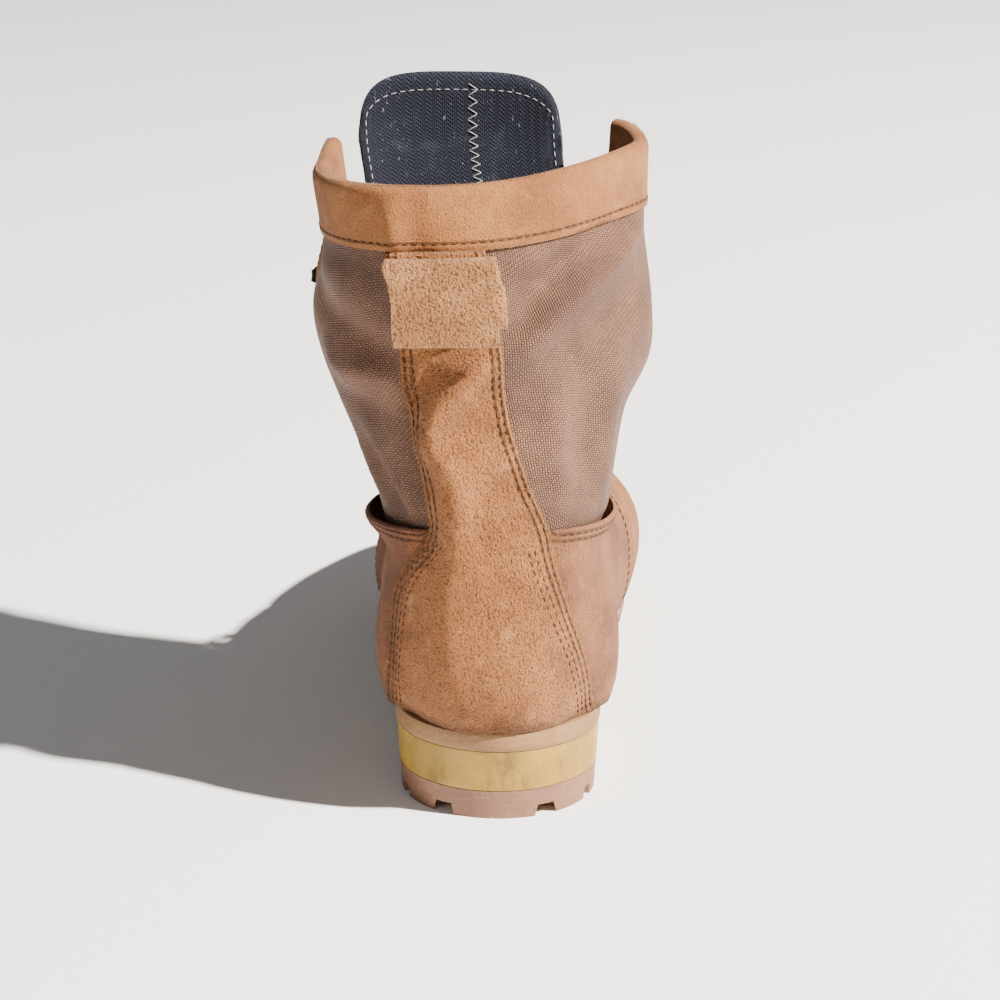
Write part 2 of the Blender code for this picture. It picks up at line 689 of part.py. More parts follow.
def build_tongue():
    """Tongue along the ring family's front, inside the wall and tucked under the vamp."""
    ups = np.concatenate([np.linspace(TONGUE_START, COLLAR_RING, 18), TONGUE_END])
    rows = []
    for up in ups:
        corner = float(np.clip((up - COLLAR_RING) / (TONGUE_END[-1] - COLLAR_RING), 0, 1)) ** 1.3
        rounding = TONGUE_TIP + (1 - TONGUE_TIP) * math.sqrt(1 - corner**2)
        spread = float(ease(TONGUE_START, COLLAR_RING - 2, up))
        width = (TONGUE_BASE_WIDTH + (TONGUE_WIDTH - TONGUE_BASE_WIDTH) * spread) * rounding
        lines = {side: ring_line(side, up) for side in (MEDIAL, LATERAL)}
        row = []
        for share in np.linspace(-1, 1, TONGUE_COLUMNS):
            line = lines[MEDIAL if share * width / 2 > TONGUE_SHIFT * spread else LATERAL]
            run = run_of(line)
            reach = abs(share * width / 2 - TONGUE_SHIFT * spread)
            row.append(on_line(line, run, run[-1] - reach))
        row = np.array(row)
        chord = np.linspace(row[0], row[-1], TONGUE_COLUMNS)
        rows.append(row + (chord - row) * TONGUE_FLATNESS)
    rows = np.array(rows)
    across = np.gradient(rows, axis=1)
    rise = np.gradient(rows, axis=0)
    normals = np.cross(rise, across)
    normals /= np.linalg.norm(normals, axis=2, keepdims=True)
    bend = np.exp(-(((ups - BEND_RING) / 0.9) ** 2))[:, None, None]
    outer = rows - normals * (WALL + TONGUE_SET_BACK + TONGUE_BEND_GAP * bend)
    inner = outer - normals * TONGUE_THICKNESS
    strip_solid("tongue", inner[:, ::-1], outer[:, ::-1], "lining")


Turn = namedtuple("Turn", "rise stand")
# The pull loop's route: rise is a share of LOOP_DROP and stand a share of LOOP_STAND off the back.
LOOP_PATH = (
    Turn(0.00, 0.00), Turn(0.50, 0.00), Turn(0.88, 0.05), Turn(0.97, 0.12), Turn(1.02, 0.36),
    Turn(1.00, 0.63), Turn(0.90, 0.77), Turn(0.50, 0.87), Turn(0.05, 0.97), Turn(-0.06, 1.00),
)


def build_loop():
    """Doubled strap at the back, stitched low, that turns outwards and hangs down."""
    base = FIT + BACKSTAY_LEATHER + LOOP_GAP
    places = np.linspace(-LOOP_WIDTH / 2, LOOP_WIDTH / 2, LOOP_COLUMNS)

    def row(turn):
        """Across the strap: on the back strip's curve where it is stitched, flat where it hangs."""
        up = CUFF_RING - LOOP_HANG - (1 - turn.rise) * LOOP_DROP / (UPPER_HEIGHT * 0.1)
        points = []
        for place in places:
            side = MEDIAL if place >= 0 else LATERAL
            point, normal, _, _ = spot(side, up, abs(place), from_throat=False)
            points.append(point + normal * base)
        points = np.array(points)
        across = points[-1] - points[0]
        across /= np.linalg.norm(across)
        outward = np.array([across[1], -across[0], 0.0])
        flat = points[LOOP_COLUMNS // 2] + places[:, None] * across
        loose = min(1.0, turn.stand / LOOP_FLAT)
        return points + (flat - points) * loose + outward * turn.stand * LOOP_STAND

    middle = np.array([row(turn) for turn in LOOP_PATH])
    along = np.gradient(middle, axis=0)
    across = np.gradient(middle, axis=1)
    normals = np.cross(across, along)
    normals /= np.linalg.norm(normals, axis=2, keepdims=True)
    strip_solid("pull_loop", middle, middle + normals * LOOP_LEATHER, "suede")


def build_hardware():
    """Flat eyelets at the lower throat, open hooks above, and the lace between the eyelets."""
    lift = FIT + QUARTER_LEATHER
    corners = {}
    for side, tag in ((MEDIAL, "medial"), (LATERAL, "lateral")):
        places = EYELET_FIRST + EYELET_SPACING * np.arange(EYELET_PAIRS)
        for k, up in enumerate(throat_ups(side, places)):
            point, normal, rise, toward = spot(side, up, -EYELET_SET_BACK)
            gap = HARDWARE_GAP + BEND_GAP * math.exp(-(((up - BEND_RING + 0.2) / 0.5) ** 2))
            eyelet(f"eyelet_{tag}_{k + 1}", point + normal * (lift + gap), normal, rise)
            edge, outward, _, _ = spot(side, up, -LACE_SET_BACK)
            corner = edge + outward * (FIT + QUARTER_LEATHER + LACE_DIAMETER / 2 + LACE_LIFT)
            corners[side, k] = clear_of_eyelet(corner, outward, point + normal * (lift + gap), normal)
        first = places[-1] + HOOK_GAP
        for k, up in enumerate(throat_ups(side, first + HOOK_SPACING * np.arange(HOOK_PAIRS))):
            point, normal, rise, toward = spot(side, up, -EYELET_SET_BACK)
            hook(f"hook_{tag}_{k + 1}", point + normal * (lift + HARDWARE_GAP), normal, rise, toward)
    lace(corners)


def clear_of_eyelet(corner, outward, centre, normal):
    """A lace's corner, raised where its end would come nearer than FIT to the eyelet."""
    height = np.dot(corner - centre, normal)
    aside = np.linalg.norm(corner - centre - height * normal) - EYELET_RADIUS
    reach = LACE_DIAMETER * (0.5 + LACE_OVERRUN) + FIT
    needed = math.sqrt(max(reach**2 - max(aside, 0.0) ** 2, 0.0))
    return corner + outward * max(0.0, needed - (height - EYELET_THICKNESS))


def eyelet(name, centre, normal, rise):
    turn = np.cross(normal, rise)
    points, faces = [], []
    n = EYELET_SIDES
    for radius, height in (
        (EYELET_RADIUS, 0), (EYELET_HOLE, 0), (EYELET_HOLE, EYELET_THICKNESS), (EYELET_RADIUS, EYELET_THICKNESS),
    ):
        for k in range(n):
            a = 2 * math.pi * k / n
            points.append(centre + radius * (math.cos(a) * rise + math.sin(a) * turn) + height * normal)
    for ring in range(4):
        for k in range(n):
            a, b = ring * n + k, ring * n + (k + 1) % n
            c, d = (ring + 1) % 4 * n + (k + 1) % n, (ring + 1) % 4 * n + k
            faces.append((a, d, c, b))
    make_object(name, points, faces, "dark_metal")


def hook(name, centre, normal, rise, toward):
    """An open speed hook: a plate, a riser on the throat's side and a lip that points away."""
    near, far = HOOK_LENGTH * 0.45, -HOOK_LENGTH * 0.55
    outline = (
        (far, 0), (near, 0), (near, HOOK_RISE), (far * 0.55, HOOK_RISE),
        (far * 0.55, HOOK_RISE - HOOK_PLATE), (near - HOOK_PLATE, HOOK_RISE - HOOK_PLATE),
        (near - HOOK_PLATE, HOOK_PLATE), (far, HOOK_PLATE),
    )
    points = []
    for half in (-HOOK_WIDTH / 2, HOOK_WIDTH / 2):
        points.extend(centre + a * toward + b * normal + half * rise for a, b in outline)
    n = len(outline)
    faces = [tuple(range(n)), tuple(range(2 * n - 1, n - 1, -1))]
    faces.extend((k, n + k, n + (k + 1) % n, (k + 1) % n) for k in range(n))
    obj = make_object(name, points, faces, "dark_metal")
    face_out(obj)


def face_out(obj):
    shape = bmesh.new()
    shape.from_mesh(obj.data)
    bmesh.ops.recalc_face_normals(shape, faces=shape.faces)
    shape.to_mesh(obj.data)
    shape.free()


def rod(start, end, radius, sides=6):
    """A straight round rod, a little longer than the gap between its ends."""
    along = end - start
    length = np.linalg.norm(along)
    along /= length
    over = np.array([0.0, 0.0, 1.0])
    a = np.cross(along, over)
    a /= np.linalg.norm(a)
    b = np.cross(along, a)
    points, faces = [], []
    for centre in (start, end):
        for k in range(sides):
            t = 2 * math.pi * k / sides
            points.append(centre + radius * (math.cos(t) * a + math.sin(t) * b))
    faces.extend((k, (k + 1) % sides, sides + (k + 1) % sides, sides + k) for k in range(sides))
    faces.append(tuple(range(sides))[::-1])
    faces.append(tuple(range(sides, 2 * sides)))
    return points, faces


def lace(corners):
    """A bar at the lowest eyelets and a crossing between each pair and the next."""
    pairs = [(corners[LATERAL, 0], corners[MEDIAL, 0])]
    for k in range(EYELET_PAIRS - 1):
        pairs.append((corners[LATERAL, k], corners[MEDIAL, k + 1]))
        pairs.append((corners[MEDIAL, k], corners[LATERAL, k + 1]))
    first = None
    for k, (start, end) in enumerate(pairs):
        reach = (end - start) / np.linalg.norm(end - start) * LACE_DIAMETER * LACE_OVERRUN
        points, faces = rod(start - reach, end + reach, LACE_DIAMETER / 2)
        obj = make_object("lace" if k == 0 else f"lace_strand_{k}", points, faces, "cord")
        face_out(obj)
        if first is None:
            first = obj
            continue
        obj.hide_render = True
        obj.display_type = "WIRE"
        join = first.modifiers.new(f"strand {k}", "BOOLEAN")
        join.operation = "UNION"
        join.solver = "EXACT"
        join.object = obj


def build_sole():
    outsole = sole_layer(
        "outsole", "tan_rubber", ground, lambda y: outsole_top(y) - FIT, TREAD_TAPER, OUTSOLE_TAPER
    )
    cut_tread(outsole)
    sole_layer("midsole_wedge", "yellow_foam", outsole_top, lambda y: wedge_top(y) - FIT, OUTSOLE_TAPER, 0.0004)
    sole_layer("midsole_rand", "tan_rubber", wedge_top, sole_top, 0.0, 0.0006)


def build_insole():
    """Footbed that fills the upper's floor."""
    points, normals, _, _ = surface(np.linspace(0, 1, 3))
    edge = points[0] - normals[0] * (WALL + INSOLE_GAP)
    index = np.arange(1, SIDE_COUNT)

    def level(rise):
        rows = [edge[-index % AROUND].copy(), edge[index].copy()]
        for row in rows:
            row[:, 2] = sole_top(row[:, 1]) + FIT + rise
        return rows

    rung_solid("insole", "lining", level(0), level(INSOLE_THICKNESS))


def cut_tread(outsole):
    """Notches round the heel and grooves between the lugs."""
    cutter = bmesh.new()

    def groove(x, y, length, width, turn, depth):
        """A cutter with sloped sides, its length along its own x, open downwards."""
        low, high = -0.004, float(ground(y)) + depth
        corners = []
        for z, w in ((low, width), (high, width * 0.6)):
            for u, v in ((-1, -1), (1, -1), (1, 1), (-1, 1)):
                a, b = u * length / 2, v * w / 2
                corners.append((
                    x + a * math.cos(turn) - b * math.sin(turn),
                    y + a * math.sin(turn) + b * math.cos(turn),
                    z,
                ))
        v = [cutter.verts.new(c) for c in corners]
        for face in ((0, 3, 2, 1), (4, 5, 6, 7), (0, 1, 5, 4), (1, 2, 6, 5), (2, 3, 7, 6), (3, 0, 4, 7)):
            cutter.faces.new([v[k] for k in face])

    for side in (MEDIAL, LATERAL):
        groove(side * HEEL_NOTCH_PLACE, -HEEL_REAR, 0.030, HEEL_NOTCH_WIDTH, math.pi / 2, LUG_DEPTH)
        for place in (-0.35, 0.42):
            y = place * HEEL_WIDTH / 2
            groove(side * (HEEL_WIDTH / 2 - 0.006), y, GROOVE_REACH, GROOVE_WIDTH, 0, LUG_DEPTH)
        y = ARCH_END + GROOVE_PITCH * 0.9
        while y < FORE_LENGTH - GROOVE_PITCH:
            edge = float(sole_edge(side, y, 0))
            groove(edge - side * 0.004, y, GROOVE_REACH * 1.3, GROOVE_WIDTH, side * 0.12, LUG_DEPTH)
            y += GROOVE_PITCH
    y = ARCH_END + GROOVE_PITCH * 1.4
    while y < SPRING_START + GROOVE_PITCH:
        groove(float(swing(y)), y, CHANNEL_PLACE * 1.2, GROOVE_WIDTH * 0.8, 0, LUG_DEPTH)
        y += GROOVE_PITCH

    mesh = bpy.data.meshes.new("tread_cutter")
    cutter.to_mesh(mesh)
    cutter.free()
    helper = bpy.data.objects.new("tread_cutter", mesh)
    bpy.context.scene.collection.objects.link(helper)
    helper.hide_render = True
    helper.display_type = "WIRE"
    cut = outsole.modifiers.new("tread", "BOOLEAN")
    cut.operation = "DIFFERENCE"
    cut.solver = "EXACT"
    cut.object = helper


def main():
    clear_scene()
    build_sole()
    build_insole()
    build_upper()
    build_tongue()
    build_loop()
    build_hardware()


main()
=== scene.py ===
"""Looks of a left desert combat boot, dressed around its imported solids.

Lengths are in metres. +Y is the toe's way, +X the medial side and the origin is on the floor under
the heel's middle.
"""

import math
from collections import namedtuple

import bmesh
import bpy
import numpy as np
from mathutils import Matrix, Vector
from mathutils.kdtree import KDTree

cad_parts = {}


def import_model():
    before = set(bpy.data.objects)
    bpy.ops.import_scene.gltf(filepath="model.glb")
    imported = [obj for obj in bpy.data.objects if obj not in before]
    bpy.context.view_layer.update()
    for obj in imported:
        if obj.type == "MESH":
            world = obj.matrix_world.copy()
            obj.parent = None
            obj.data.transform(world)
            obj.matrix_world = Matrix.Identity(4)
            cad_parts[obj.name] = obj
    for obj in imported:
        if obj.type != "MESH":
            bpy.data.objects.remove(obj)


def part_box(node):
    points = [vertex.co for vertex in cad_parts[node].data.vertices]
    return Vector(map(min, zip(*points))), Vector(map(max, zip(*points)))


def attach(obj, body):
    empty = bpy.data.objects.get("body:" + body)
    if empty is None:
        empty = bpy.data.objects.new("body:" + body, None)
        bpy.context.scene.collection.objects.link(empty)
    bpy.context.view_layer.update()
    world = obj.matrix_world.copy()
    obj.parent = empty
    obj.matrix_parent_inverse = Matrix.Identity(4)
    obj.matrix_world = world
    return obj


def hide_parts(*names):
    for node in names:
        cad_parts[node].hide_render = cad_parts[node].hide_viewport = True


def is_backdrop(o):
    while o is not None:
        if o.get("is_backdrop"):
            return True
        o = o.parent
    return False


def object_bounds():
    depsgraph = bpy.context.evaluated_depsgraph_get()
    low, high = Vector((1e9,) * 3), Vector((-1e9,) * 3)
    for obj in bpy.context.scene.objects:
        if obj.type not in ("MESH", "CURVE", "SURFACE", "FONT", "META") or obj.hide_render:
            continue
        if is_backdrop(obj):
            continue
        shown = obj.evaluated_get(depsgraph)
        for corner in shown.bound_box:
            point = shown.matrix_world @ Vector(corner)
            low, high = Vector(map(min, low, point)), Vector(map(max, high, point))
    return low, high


MM = 0.001
MEDIAL, LATERAL = 1, -1
SIDES = ((MEDIAL, "medial"), (LATERAL, "lateral"))

# Sole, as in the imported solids
SOLE_LENGTH = 0.306
BALL_WIDTH = 0.112
HEEL_WIDTH = 0.078
HEEL_REAR = 0.038
TOE_SWING = 0.008
FORE_LENGTH = SOLE_LENGTH - HEEL_REAR
OUTSOLE_HEEL = 0.0115
OUTSOLE_FORE = 0.0085
WEDGE_HEEL = 0.0160
WEDGE_FORE = 0.0045
RAND_HEEL = 0.0070
RAND_FORE = 0.0055
INSOLE_GAP = 0.0008
INSOLE_THICKNESS = 0.005
TOE_SPRING = 0.014
ARCH_RISE = 0.008
TREAD_TAPER = 0.0022
OUTSOLE_TAPER = 0.0015
HEEL_BREAST = 0.046
ARCH_END = 0.100
BREAST_RUN = 0.008
SPRING_START = 0.200
LUG_DEPTH = 0.0045
GROOVE_WIDTH = 0.0065
HEEL_NOTCH_WIDTH = 0.0095
HEEL_NOTCH_PLACE = 0.019
GROOVE_PITCH = 0.0185
GROOVE_REACH = 0.024
CHANNEL_PLACE = 0.016
HEEL_STACK = OUTSOLE_HEEL + WEDGE_HEEL + RAND_HEEL
FORE_STACK = OUTSOLE_FORE + WEDGE_FORE + RAND_FORE

# Upper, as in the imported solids
UPPER_BULGE = 0.0025
QUARTER_HEIGHT = 0.0745
SHAFT_HEIGHT = 0.1215
SHAFT_WIDTH = 0.120
SHAFT_DEPTH = 0.125
INSTEP_HEIGHT = 0.082
WIDEST_HEIGHT = 0.013
EAR_HEIGHT = 0.004
MEDIAL_RISE = 0.007
UPPER_HEIGHT = QUARTER_HEIGHT + SHAFT_HEIGHT
WALL = 0.0024
VAMP_LEATHER = 0.0014
QUARTER_LEATHER = 0.0018
BACKSTAY_LEATHER = 0.0025
CUFF_LEATHER = 0.0020
EYESTAY_WIDTH = 0.024
LEDGE_LATERAL = 0.0055
LEDGE_MEDIAL = 0.0025
FIT = 0.0003
TOE_POWER = 2.3
TOE_START = FORE_LENGTH * 0.73
FRONT_POWER = 2.2
BLEND = 0.55

# Tongue, loop and hardware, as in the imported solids
TONGUE_THICKNESS = 0.0035
TONGUE_SET_BACK = 0.0024
TONGUE_POWER = 3.6
TONGUE_DROOP = 0.3
TONGUE_FLATNESS = 0.5
TONGUE_SHIFT = -0.0045
TONGUE_BEND_GAP = 0.0018
TONGUE_START = 5.0
TONGUE_END = 15.0
TONGUE_WIDTH = 0.087
TONGUE_BASE_WIDTH = 0.052
LOOP_WIDTH = 0.037
LOOP_DROP = 0.0255
LOOP_LEATHER = 0.0024
LOOP_GAP = 0.0008
LOOP_HANG = 0.09
LOOP_FLAT_LIFT = 0.0060
EYELET_SET_BACK = 0.0105
EYELET_SPACING = 0.0165
EYELET_FIRST = 0.009
EYELET_PAIRS = 4
HOOK_PAIRS = 4
HOOK_GAP = 0.018
HOOK_SPACING = 0.0150
BEND_RING = 7.8

Station = namedtuple("Station", "place medial lateral ridge")
# place is a share of FORE_LENGTH, the half widths of BALL_WIDTH and the ridge of INSTEP_HEIGHT.
FOOT = (
    Station(0.00, 0.348, 0.348, 0.86),
    Station(0.22, 0.322, 0.362, 0.96),
    Station(0.36, 0.330, 0.385, 1.00),
    Station(0.47, 0.365, 0.440, 0.92),
    Station(0.60, 0.420, 0.500, 0.77),
    Station(0.75, 0.430, 0.490, 0.63),
    Station(0.88, 0.405, 0.440, 0.535),
    Station(1.00, 0.370, 0.385, 0.50),
)

Heel = namedtuple("Heel", "height back medial lateral centre")
# height is a share of QUARTER_HEIGHT, the rest of HEEL_WIDTH.
COUNTER = (
    Heel(0.00, 0.455, 0.468, 0.468, 0.00),
    Heel(0.12, 0.497, 0.515, 0.528, 0.00),
    Heel(0.31, 0.517, 0.532, 0.553, 0.00),
    Heel(0.57, 0.505, 0.515, 0.528, -0.01),
    Heel(0.79, 0.462, 0.520, 0.515, -0.03),
)

Band = namedtuple(
    "Band", "height back front medial lateral centre widest power_medial power_lateral power_front"
)
# height is a share of SHAFT_HEIGHT, back, front and widest of SHAFT_DEPTH, the rest of SHAFT_WIDTH.
SHAFT = (
    Band(0.00, 0.262, 0.76, 0.385, 0.335, -0.040, 0.16, 2.1, 2.1, 2.2),
    Band(0.14, 0.232, 0.75, 0.440, 0.350, -0.075, 0.20, 2.0, 2.1, 2.2),
    Band(0.28, 0.216, 0.72, 0.500, 0.388, -0.105, 0.25, 1.9, 2.2, 2.2),
    Band(0.42, 0.208, 0.72, 0.590, 0.430, -0.125, 0.30, 1.85, 2.3, 2.2),
    Band(0.58, 0.200, 0.74, 0.610, 0.450, -0.140, 0.32, 1.75, 2.4, 2.4),
    Band(0.80, 0.184, 0.79, 0.605, 0.375, -0.170, 0.38, 1.6, 2.6, 2.9),
    Band(1.00, 0.160, 0.85, 0.635, 0.370, -0.200, 0.44, 1.5, 2.8, 3.4),
    Band(1.30, 0.130, 0.90, 0.635, 0.370, -0.200, 0.47, 1.5, 2.8, 3.4),
)

Ring = namedtuple("Ring", "back place rise sag")
# back and rise are shares of UPPER_HEIGHT and place of FORE_LENGTH.
RINGS = (
    Ring(0.000, 1.00, 0.000, 1.00),
    Ring(0.055, 1.00, 0.050, 1.00),
    Ring(0.115, 0.98, 0.100, 0.85),
    Ring(0.180, 0.93, 0.150, 0.70),
    Ring(0.245, 0.84, 0.205, 0.50),
    Ring(0.300, 0.74, 0.260, 0.30),
    Ring(0.345, 0.63, 0.315, 0.15),
    Ring(0.385, 0.515, 0.372, 0.00),
    Ring(0.435, 0.46, 0.437, 0.00),
    Ring(0.505, 0.405, 0.517, 0.00),
    Ring(0.595, 0.365, 0.610, 0.00),
    Ring(0.700, 0.345, 0.715, 0.00),
    Ring(0.800, 0.35, 0.820, 0.00),
    Ring(0.900, 0.37, 0.925, 0.00),
    Ring(1.000, 0.395, 1.035, 0.00),
    Ring(1.150, 0.41, 1.190, 0.00),
)
THROAT_RING = 7
CUFF_RING = 13
COLLAR_RING = 14

Seam = namedtuple("Seam", "ring stay_medial stay_lateral throat_medial throat_lateral")
# Seams on each ring, in shares of HEEL_WIDTH, from the back and from the front.
SEAMS = (
    Seam(0, 0.580, 0.680, 1.86, 1.86),
    Seam(2, 0.500, 0.640, 1.66, 1.66),
    Seam(4, 0.380, 0.550, 1.14, 1.14),
    Seam(5, 0.340, 0.450, 0.82, 0.82),
    Seam(6, 0.320, 0.330, 0.52, 0.52),
    Seam(7, 0.315, 0.250, 0.27, 0.27),
    Seam(8, 0.290, 0.225, 0.31, 0.31),
    Seam(10, 0.240, 0.225, 0.48, 0.46),
    Seam(12, 0.228, 0.225, 0.74, 0.66),
    Seam(14, 0.225, 0.222, 0.94, 0.78),
    Seam(15, 0.225, 0.222, 0.96, 0.80),
)

# Strips around each side: the back strip, the side, the eyestay and the vamp
STAY, EYESTAY, THROAT, FRONT = 4, 10, 13, 21
STRIPS = (0, STAY, EYESTAY, THROAT, FRONT)
SIDE_SPREAD = 0.62
RING_ANGLES = 200
HALVINGS = 24
MASTER_UPS = np.linspace(0, 15, 15 * 20 + 1)


def smooth_through(keys, values, at):
    """A cubic curve through the values, with the slope of each key's neighbours."""
    keys, values = np.asarray(keys, float), np.asarray(values, float)
    slopes = np.gradient(values, keys)
    at = np.clip(np.asarray(at, float), keys[0], keys[-1])
    i = np.clip(np.searchsorted(keys, at, side="right") - 1, 0, len(keys) - 2)
    step = keys[i + 1] - keys[i]
    t = (at - keys[i]) / step
    return (
        (2 * t**3 - 3 * t**2 + 1) * values[i]
        + (t**3 - 2 * t**2 + t) * step * slopes[i]
        + (3 * t**2 - 2 * t**3) * values[i + 1]
        + (t**3 - t**2) * step * slopes[i + 1]
    )


def ease(low, high, at):
    """0 below low, 1 above high and an S curve between."""
    t = np.clip((np.asarray(at, float) - low) / (high - low), 0, 1)
    return t * t * (3 - 2 * t)


def column(rows, name, scale=1.0):
    return np.array([getattr(row, name) for row in rows]) * scale


def curve_through(marks, count):
    """This many points on a smooth curve through the marks."""
    marks = np.asarray(marks, float)
    keys = np.arange(len(marks))
    fine = np.linspace(0, len(marks) - 1, count)
    return np.stack([smooth_through(keys, values, fine) for values in marks.T], axis=1)


def lengths_along(lines):
    """Distance from a line's start to each of its points, for one line or rows of them."""
    steps = np.linalg.norm(np.diff(lines, axis=-2), axis=-1)
    return np.concatenate([np.zeros_like(steps[..., :1]), np.cumsum(steps, axis=-1)], axis=-1)


def between_points(line, keys, at):
    """Points of a line, known at keys, at other keys."""
    return np.stack([np.interp(at, keys, line[:, axis]) for axis in range(3)], axis=-1)


def unit(vectors):
    return vectors / np.maximum(np.linalg.norm(vectors, axis=-1, keepdims=True), 1e-12)


# Sole heights


def spring(y):
    return TOE_SPRING * np.clip((y - SPRING_START) / (FORE_LENGTH - SPRING_START), 0, None) ** 2


def ground(y):
    y = np.asarray(y, float)
    arch = ease(HEEL_BREAST, HEEL_BREAST + BREAST_RUN, y) * (1 - ease(ARCH_END - BREAST_RUN, ARCH_END, y))
    return ARCH_RISE * arch + spring(y)


def stack(y, heel, fore):
    y = np.asarray(y, float)
    fall = ease(HEEL_BREAST / 2, FORE_LENGTH * 0.55, y)
    return heel + (fore - heel) * fall + spring(y)


def outsole_top(y):
    arch = ease(HEEL_BREAST * 0.7, HEEL_BREAST + BREAST_RUN, y)
    arch = arch * (1 - ease(ARCH_END - BREAST_RUN, ARCH_END + BREAST_RUN, y))
    return stack(y, OUTSOLE_HEEL, OUTSOLE_FORE) + ARCH_RISE * 0.45 * arch


def wedge_top(y):
    return stack(y, OUTSOLE_HEEL + WEDGE_HEEL, OUTSOLE_FORE + WEDGE_FORE)


def sole_top(y):
    return stack(y, HEEL_STACK, FORE_STACK)


def half_width(side, y):
    name = "medial" if side == MEDIAL else "lateral"
    return smooth_through(column(FOOT, "place", FORE_LENGTH), column(FOOT, name, BALL_WIDTH), y)


def swing(y):
    return TOE_SWING * ease(FORE_LENGTH * 0.55, FORE_LENGTH, y)


def sole_edge(side, y, inset):
    """X of the sole's edge at y, with round heel and toe, drawn in by inset."""
    y = np.asarray(y, float)
    rear = np.clip(-y / (HEEL_REAR - inset), 0, 1)
    toe = np.clip((y - TOE_START) / (FORE_LENGTH - inset - TOE_START), 0, 1)
    heel_cap = np.sqrt(np.clip(1 - rear**2, 0, 1))
    toe_cap = np.clip(1 - toe**TOE_POWER, 0, 1) ** (1 / TOE_POWER)
    return swing(y) + side * (half_width(side, y) - inset) * heel_cap * toe_cap


# Upper's form, which is 0 on its outside


def foot_form(x, y, z):
    side = np.where(x >= swing(y), MEDIAL, LATERAL)
    body = np.where(side == MEDIAL, half_width(MEDIAL, y), half_width(LATERAL, y))
    sole = sole_top(y)
    widest = sole + WIDEST_HEIGHT
    places = column(FOOT, "place", FORE_LENGTH)
    ridge = sole + smooth_through(places, column(FOOT, "ridge", INSTEP_HEIGHT), y)
    width_term = (np.abs(x - swing(y)) / (body + UPPER_BULGE)) ** 2.15
    over = np.clip((z - widest) / (ridge - widest), 0, None) ** 2.05
    under = 0.08 * np.clip((widest - z) / WIDEST_HEIGHT, 0, None) ** 2
    toe = np.clip((y - TOE_START) / (FORE_LENGTH - TOE_START), 0, None) ** TOE_POWER
    rear = np.clip(-y / (HEEL_REAR * 0.5), 0, None) ** 2
    return width_term + over + under + toe + rear - 1


HEEL_HEIGHTS = np.concatenate([
    HEEL_STACK + column(COUNTER, "height", QUARTER_HEIGHT),
    HEEL_STACK + QUARTER_HEIGHT + column(SHAFT, "height", SHAFT_HEIGHT),
])


def shaft_size(name, z):
    """One of the shaft's or counter's columns at height z."""
    if name in ("front", "widest"):
        counter = np.full(len(COUNTER), getattr(SHAFT[0], name) * SHAFT_DEPTH) * 0.9
    elif name.startswith("power"):
        counter = np.full(len(COUNTER), 2.1)
    else:
        counter = column(COUNTER, name, HEEL_WIDTH)
    if name.startswith("power"):
        scale = 1.0
    elif name in ("back", "front", "widest"):
        scale = SHAFT_DEPTH
    else:
        scale = SHAFT_WIDTH
    return smooth_through(HEEL_HEIGHTS, np.concatenate([counter, column(SHAFT, name, scale)]), z)


def shaft_form(x, y, z):
    across = x - shaft_size("centre", z)
    widest = shaft_size("widest", z)
    along = y - widest
    width = np.where(across >= 0, shaft_size("medial", z), shaft_size("lateral", z))
    reach = np.where(along >= 0, shaft_size("front", z) - widest, shaft_size("back", z) + widest)
    rear_power = np.where(across >= 0, shaft_size("power_medial", z), shaft_size("power_lateral", z))
    front_power = np.where(across >= 0, FRONT_POWER, shaft_size("power_front", z))
    power = np.where(along >= 0, front_power, rear_power)
    return (np.abs(across) / width) ** power + (np.abs(along) / reach) ** power - 1


def boot_form(x, y, z):
    a, b = foot_form(x, y, z), shaft_form(x, y, z)
    h = np.clip(0.5 + 0.5 * (b - a) / BLEND, 0, 1)
    return b + (a - b) * h - BLEND * h * (1 - h)


# Rings around the upper, close together


def rows_at(ups):
    """The close ring below each ring number, and the share of the way up to the next."""
    low = np.clip(np.searchsorted(MASTER_UPS, ups, side="right") - 1, 0, len(MASTER_UPS) - 2)
    return low, (ups - MASTER_UPS[low]) / (MASTER_UPS[1] - MASTER_UPS[0])


def ring_values(name, scale=1.0):
    return smooth_through(np.arange(len(RINGS)), column(RINGS, name, scale), MASTER_UPS)[:, None]


def seam_values(name):
    return smooth_through(column(SEAMS, "ring"), column(SEAMS, name, HEEL_WIDTH), MASTER_UPS)


def ring_lines(side):
    """Points on one side of every ring, from the back of the heel round to the front."""
    back_z = HEEL_STACK + FIT + ring_values("back", UPPER_HEIGHT)
    back_y = -shaft_size("back", back_z)
    front_y = ring_values("place", FORE_LENGTH)
    front_z = sole_top(front_y) + FIT + ring_values("rise", UPPER_HEIGHT)
    sag = ring_values("sag")

    def height(y):
        share = (y - back_y) / (front_y - back_y)
        curve = sole_top(y) - HEEL_STACK - (sole_top(front_y) - HEEL_STACK) * share
        return back_z + (front_z - back_z) * share + sag * curve

    back_x = shaft_size("centre", back_z)
    lean = ease(THROAT_RING - 3, COLLAR_RING - 2, MASTER_UPS)[:, None]
    front_x = swing(front_y) + (back_x - swing(front_y)) * lean
    middle = (back_y + front_y) / 2
    turn = np.linspace(0, math.pi, RING_ANGLES)[None, :]
    near = np.zeros((len(MASTER_UPS), RING_ANGLES))
    far = np.full_like(near, SOLE_LENGTH)

    def point(reach):
        y = middle - reach * np.cos(turn)
        share = np.clip((y - back_y) / (front_y - back_y), 0, 1)
        return back_x + (front_x - back_x) * share + side * reach * np.sin(turn), y, height(y)

    for _ in range(HALVINGS):
        reach = (near + far) / 2
        outside = boot_form(*point(reach)) > 0
        far = np.where(outside, reach, far)
        near = np.where(outside, near, reach)
    return np.stack(point((near + far) / 2), axis=2)


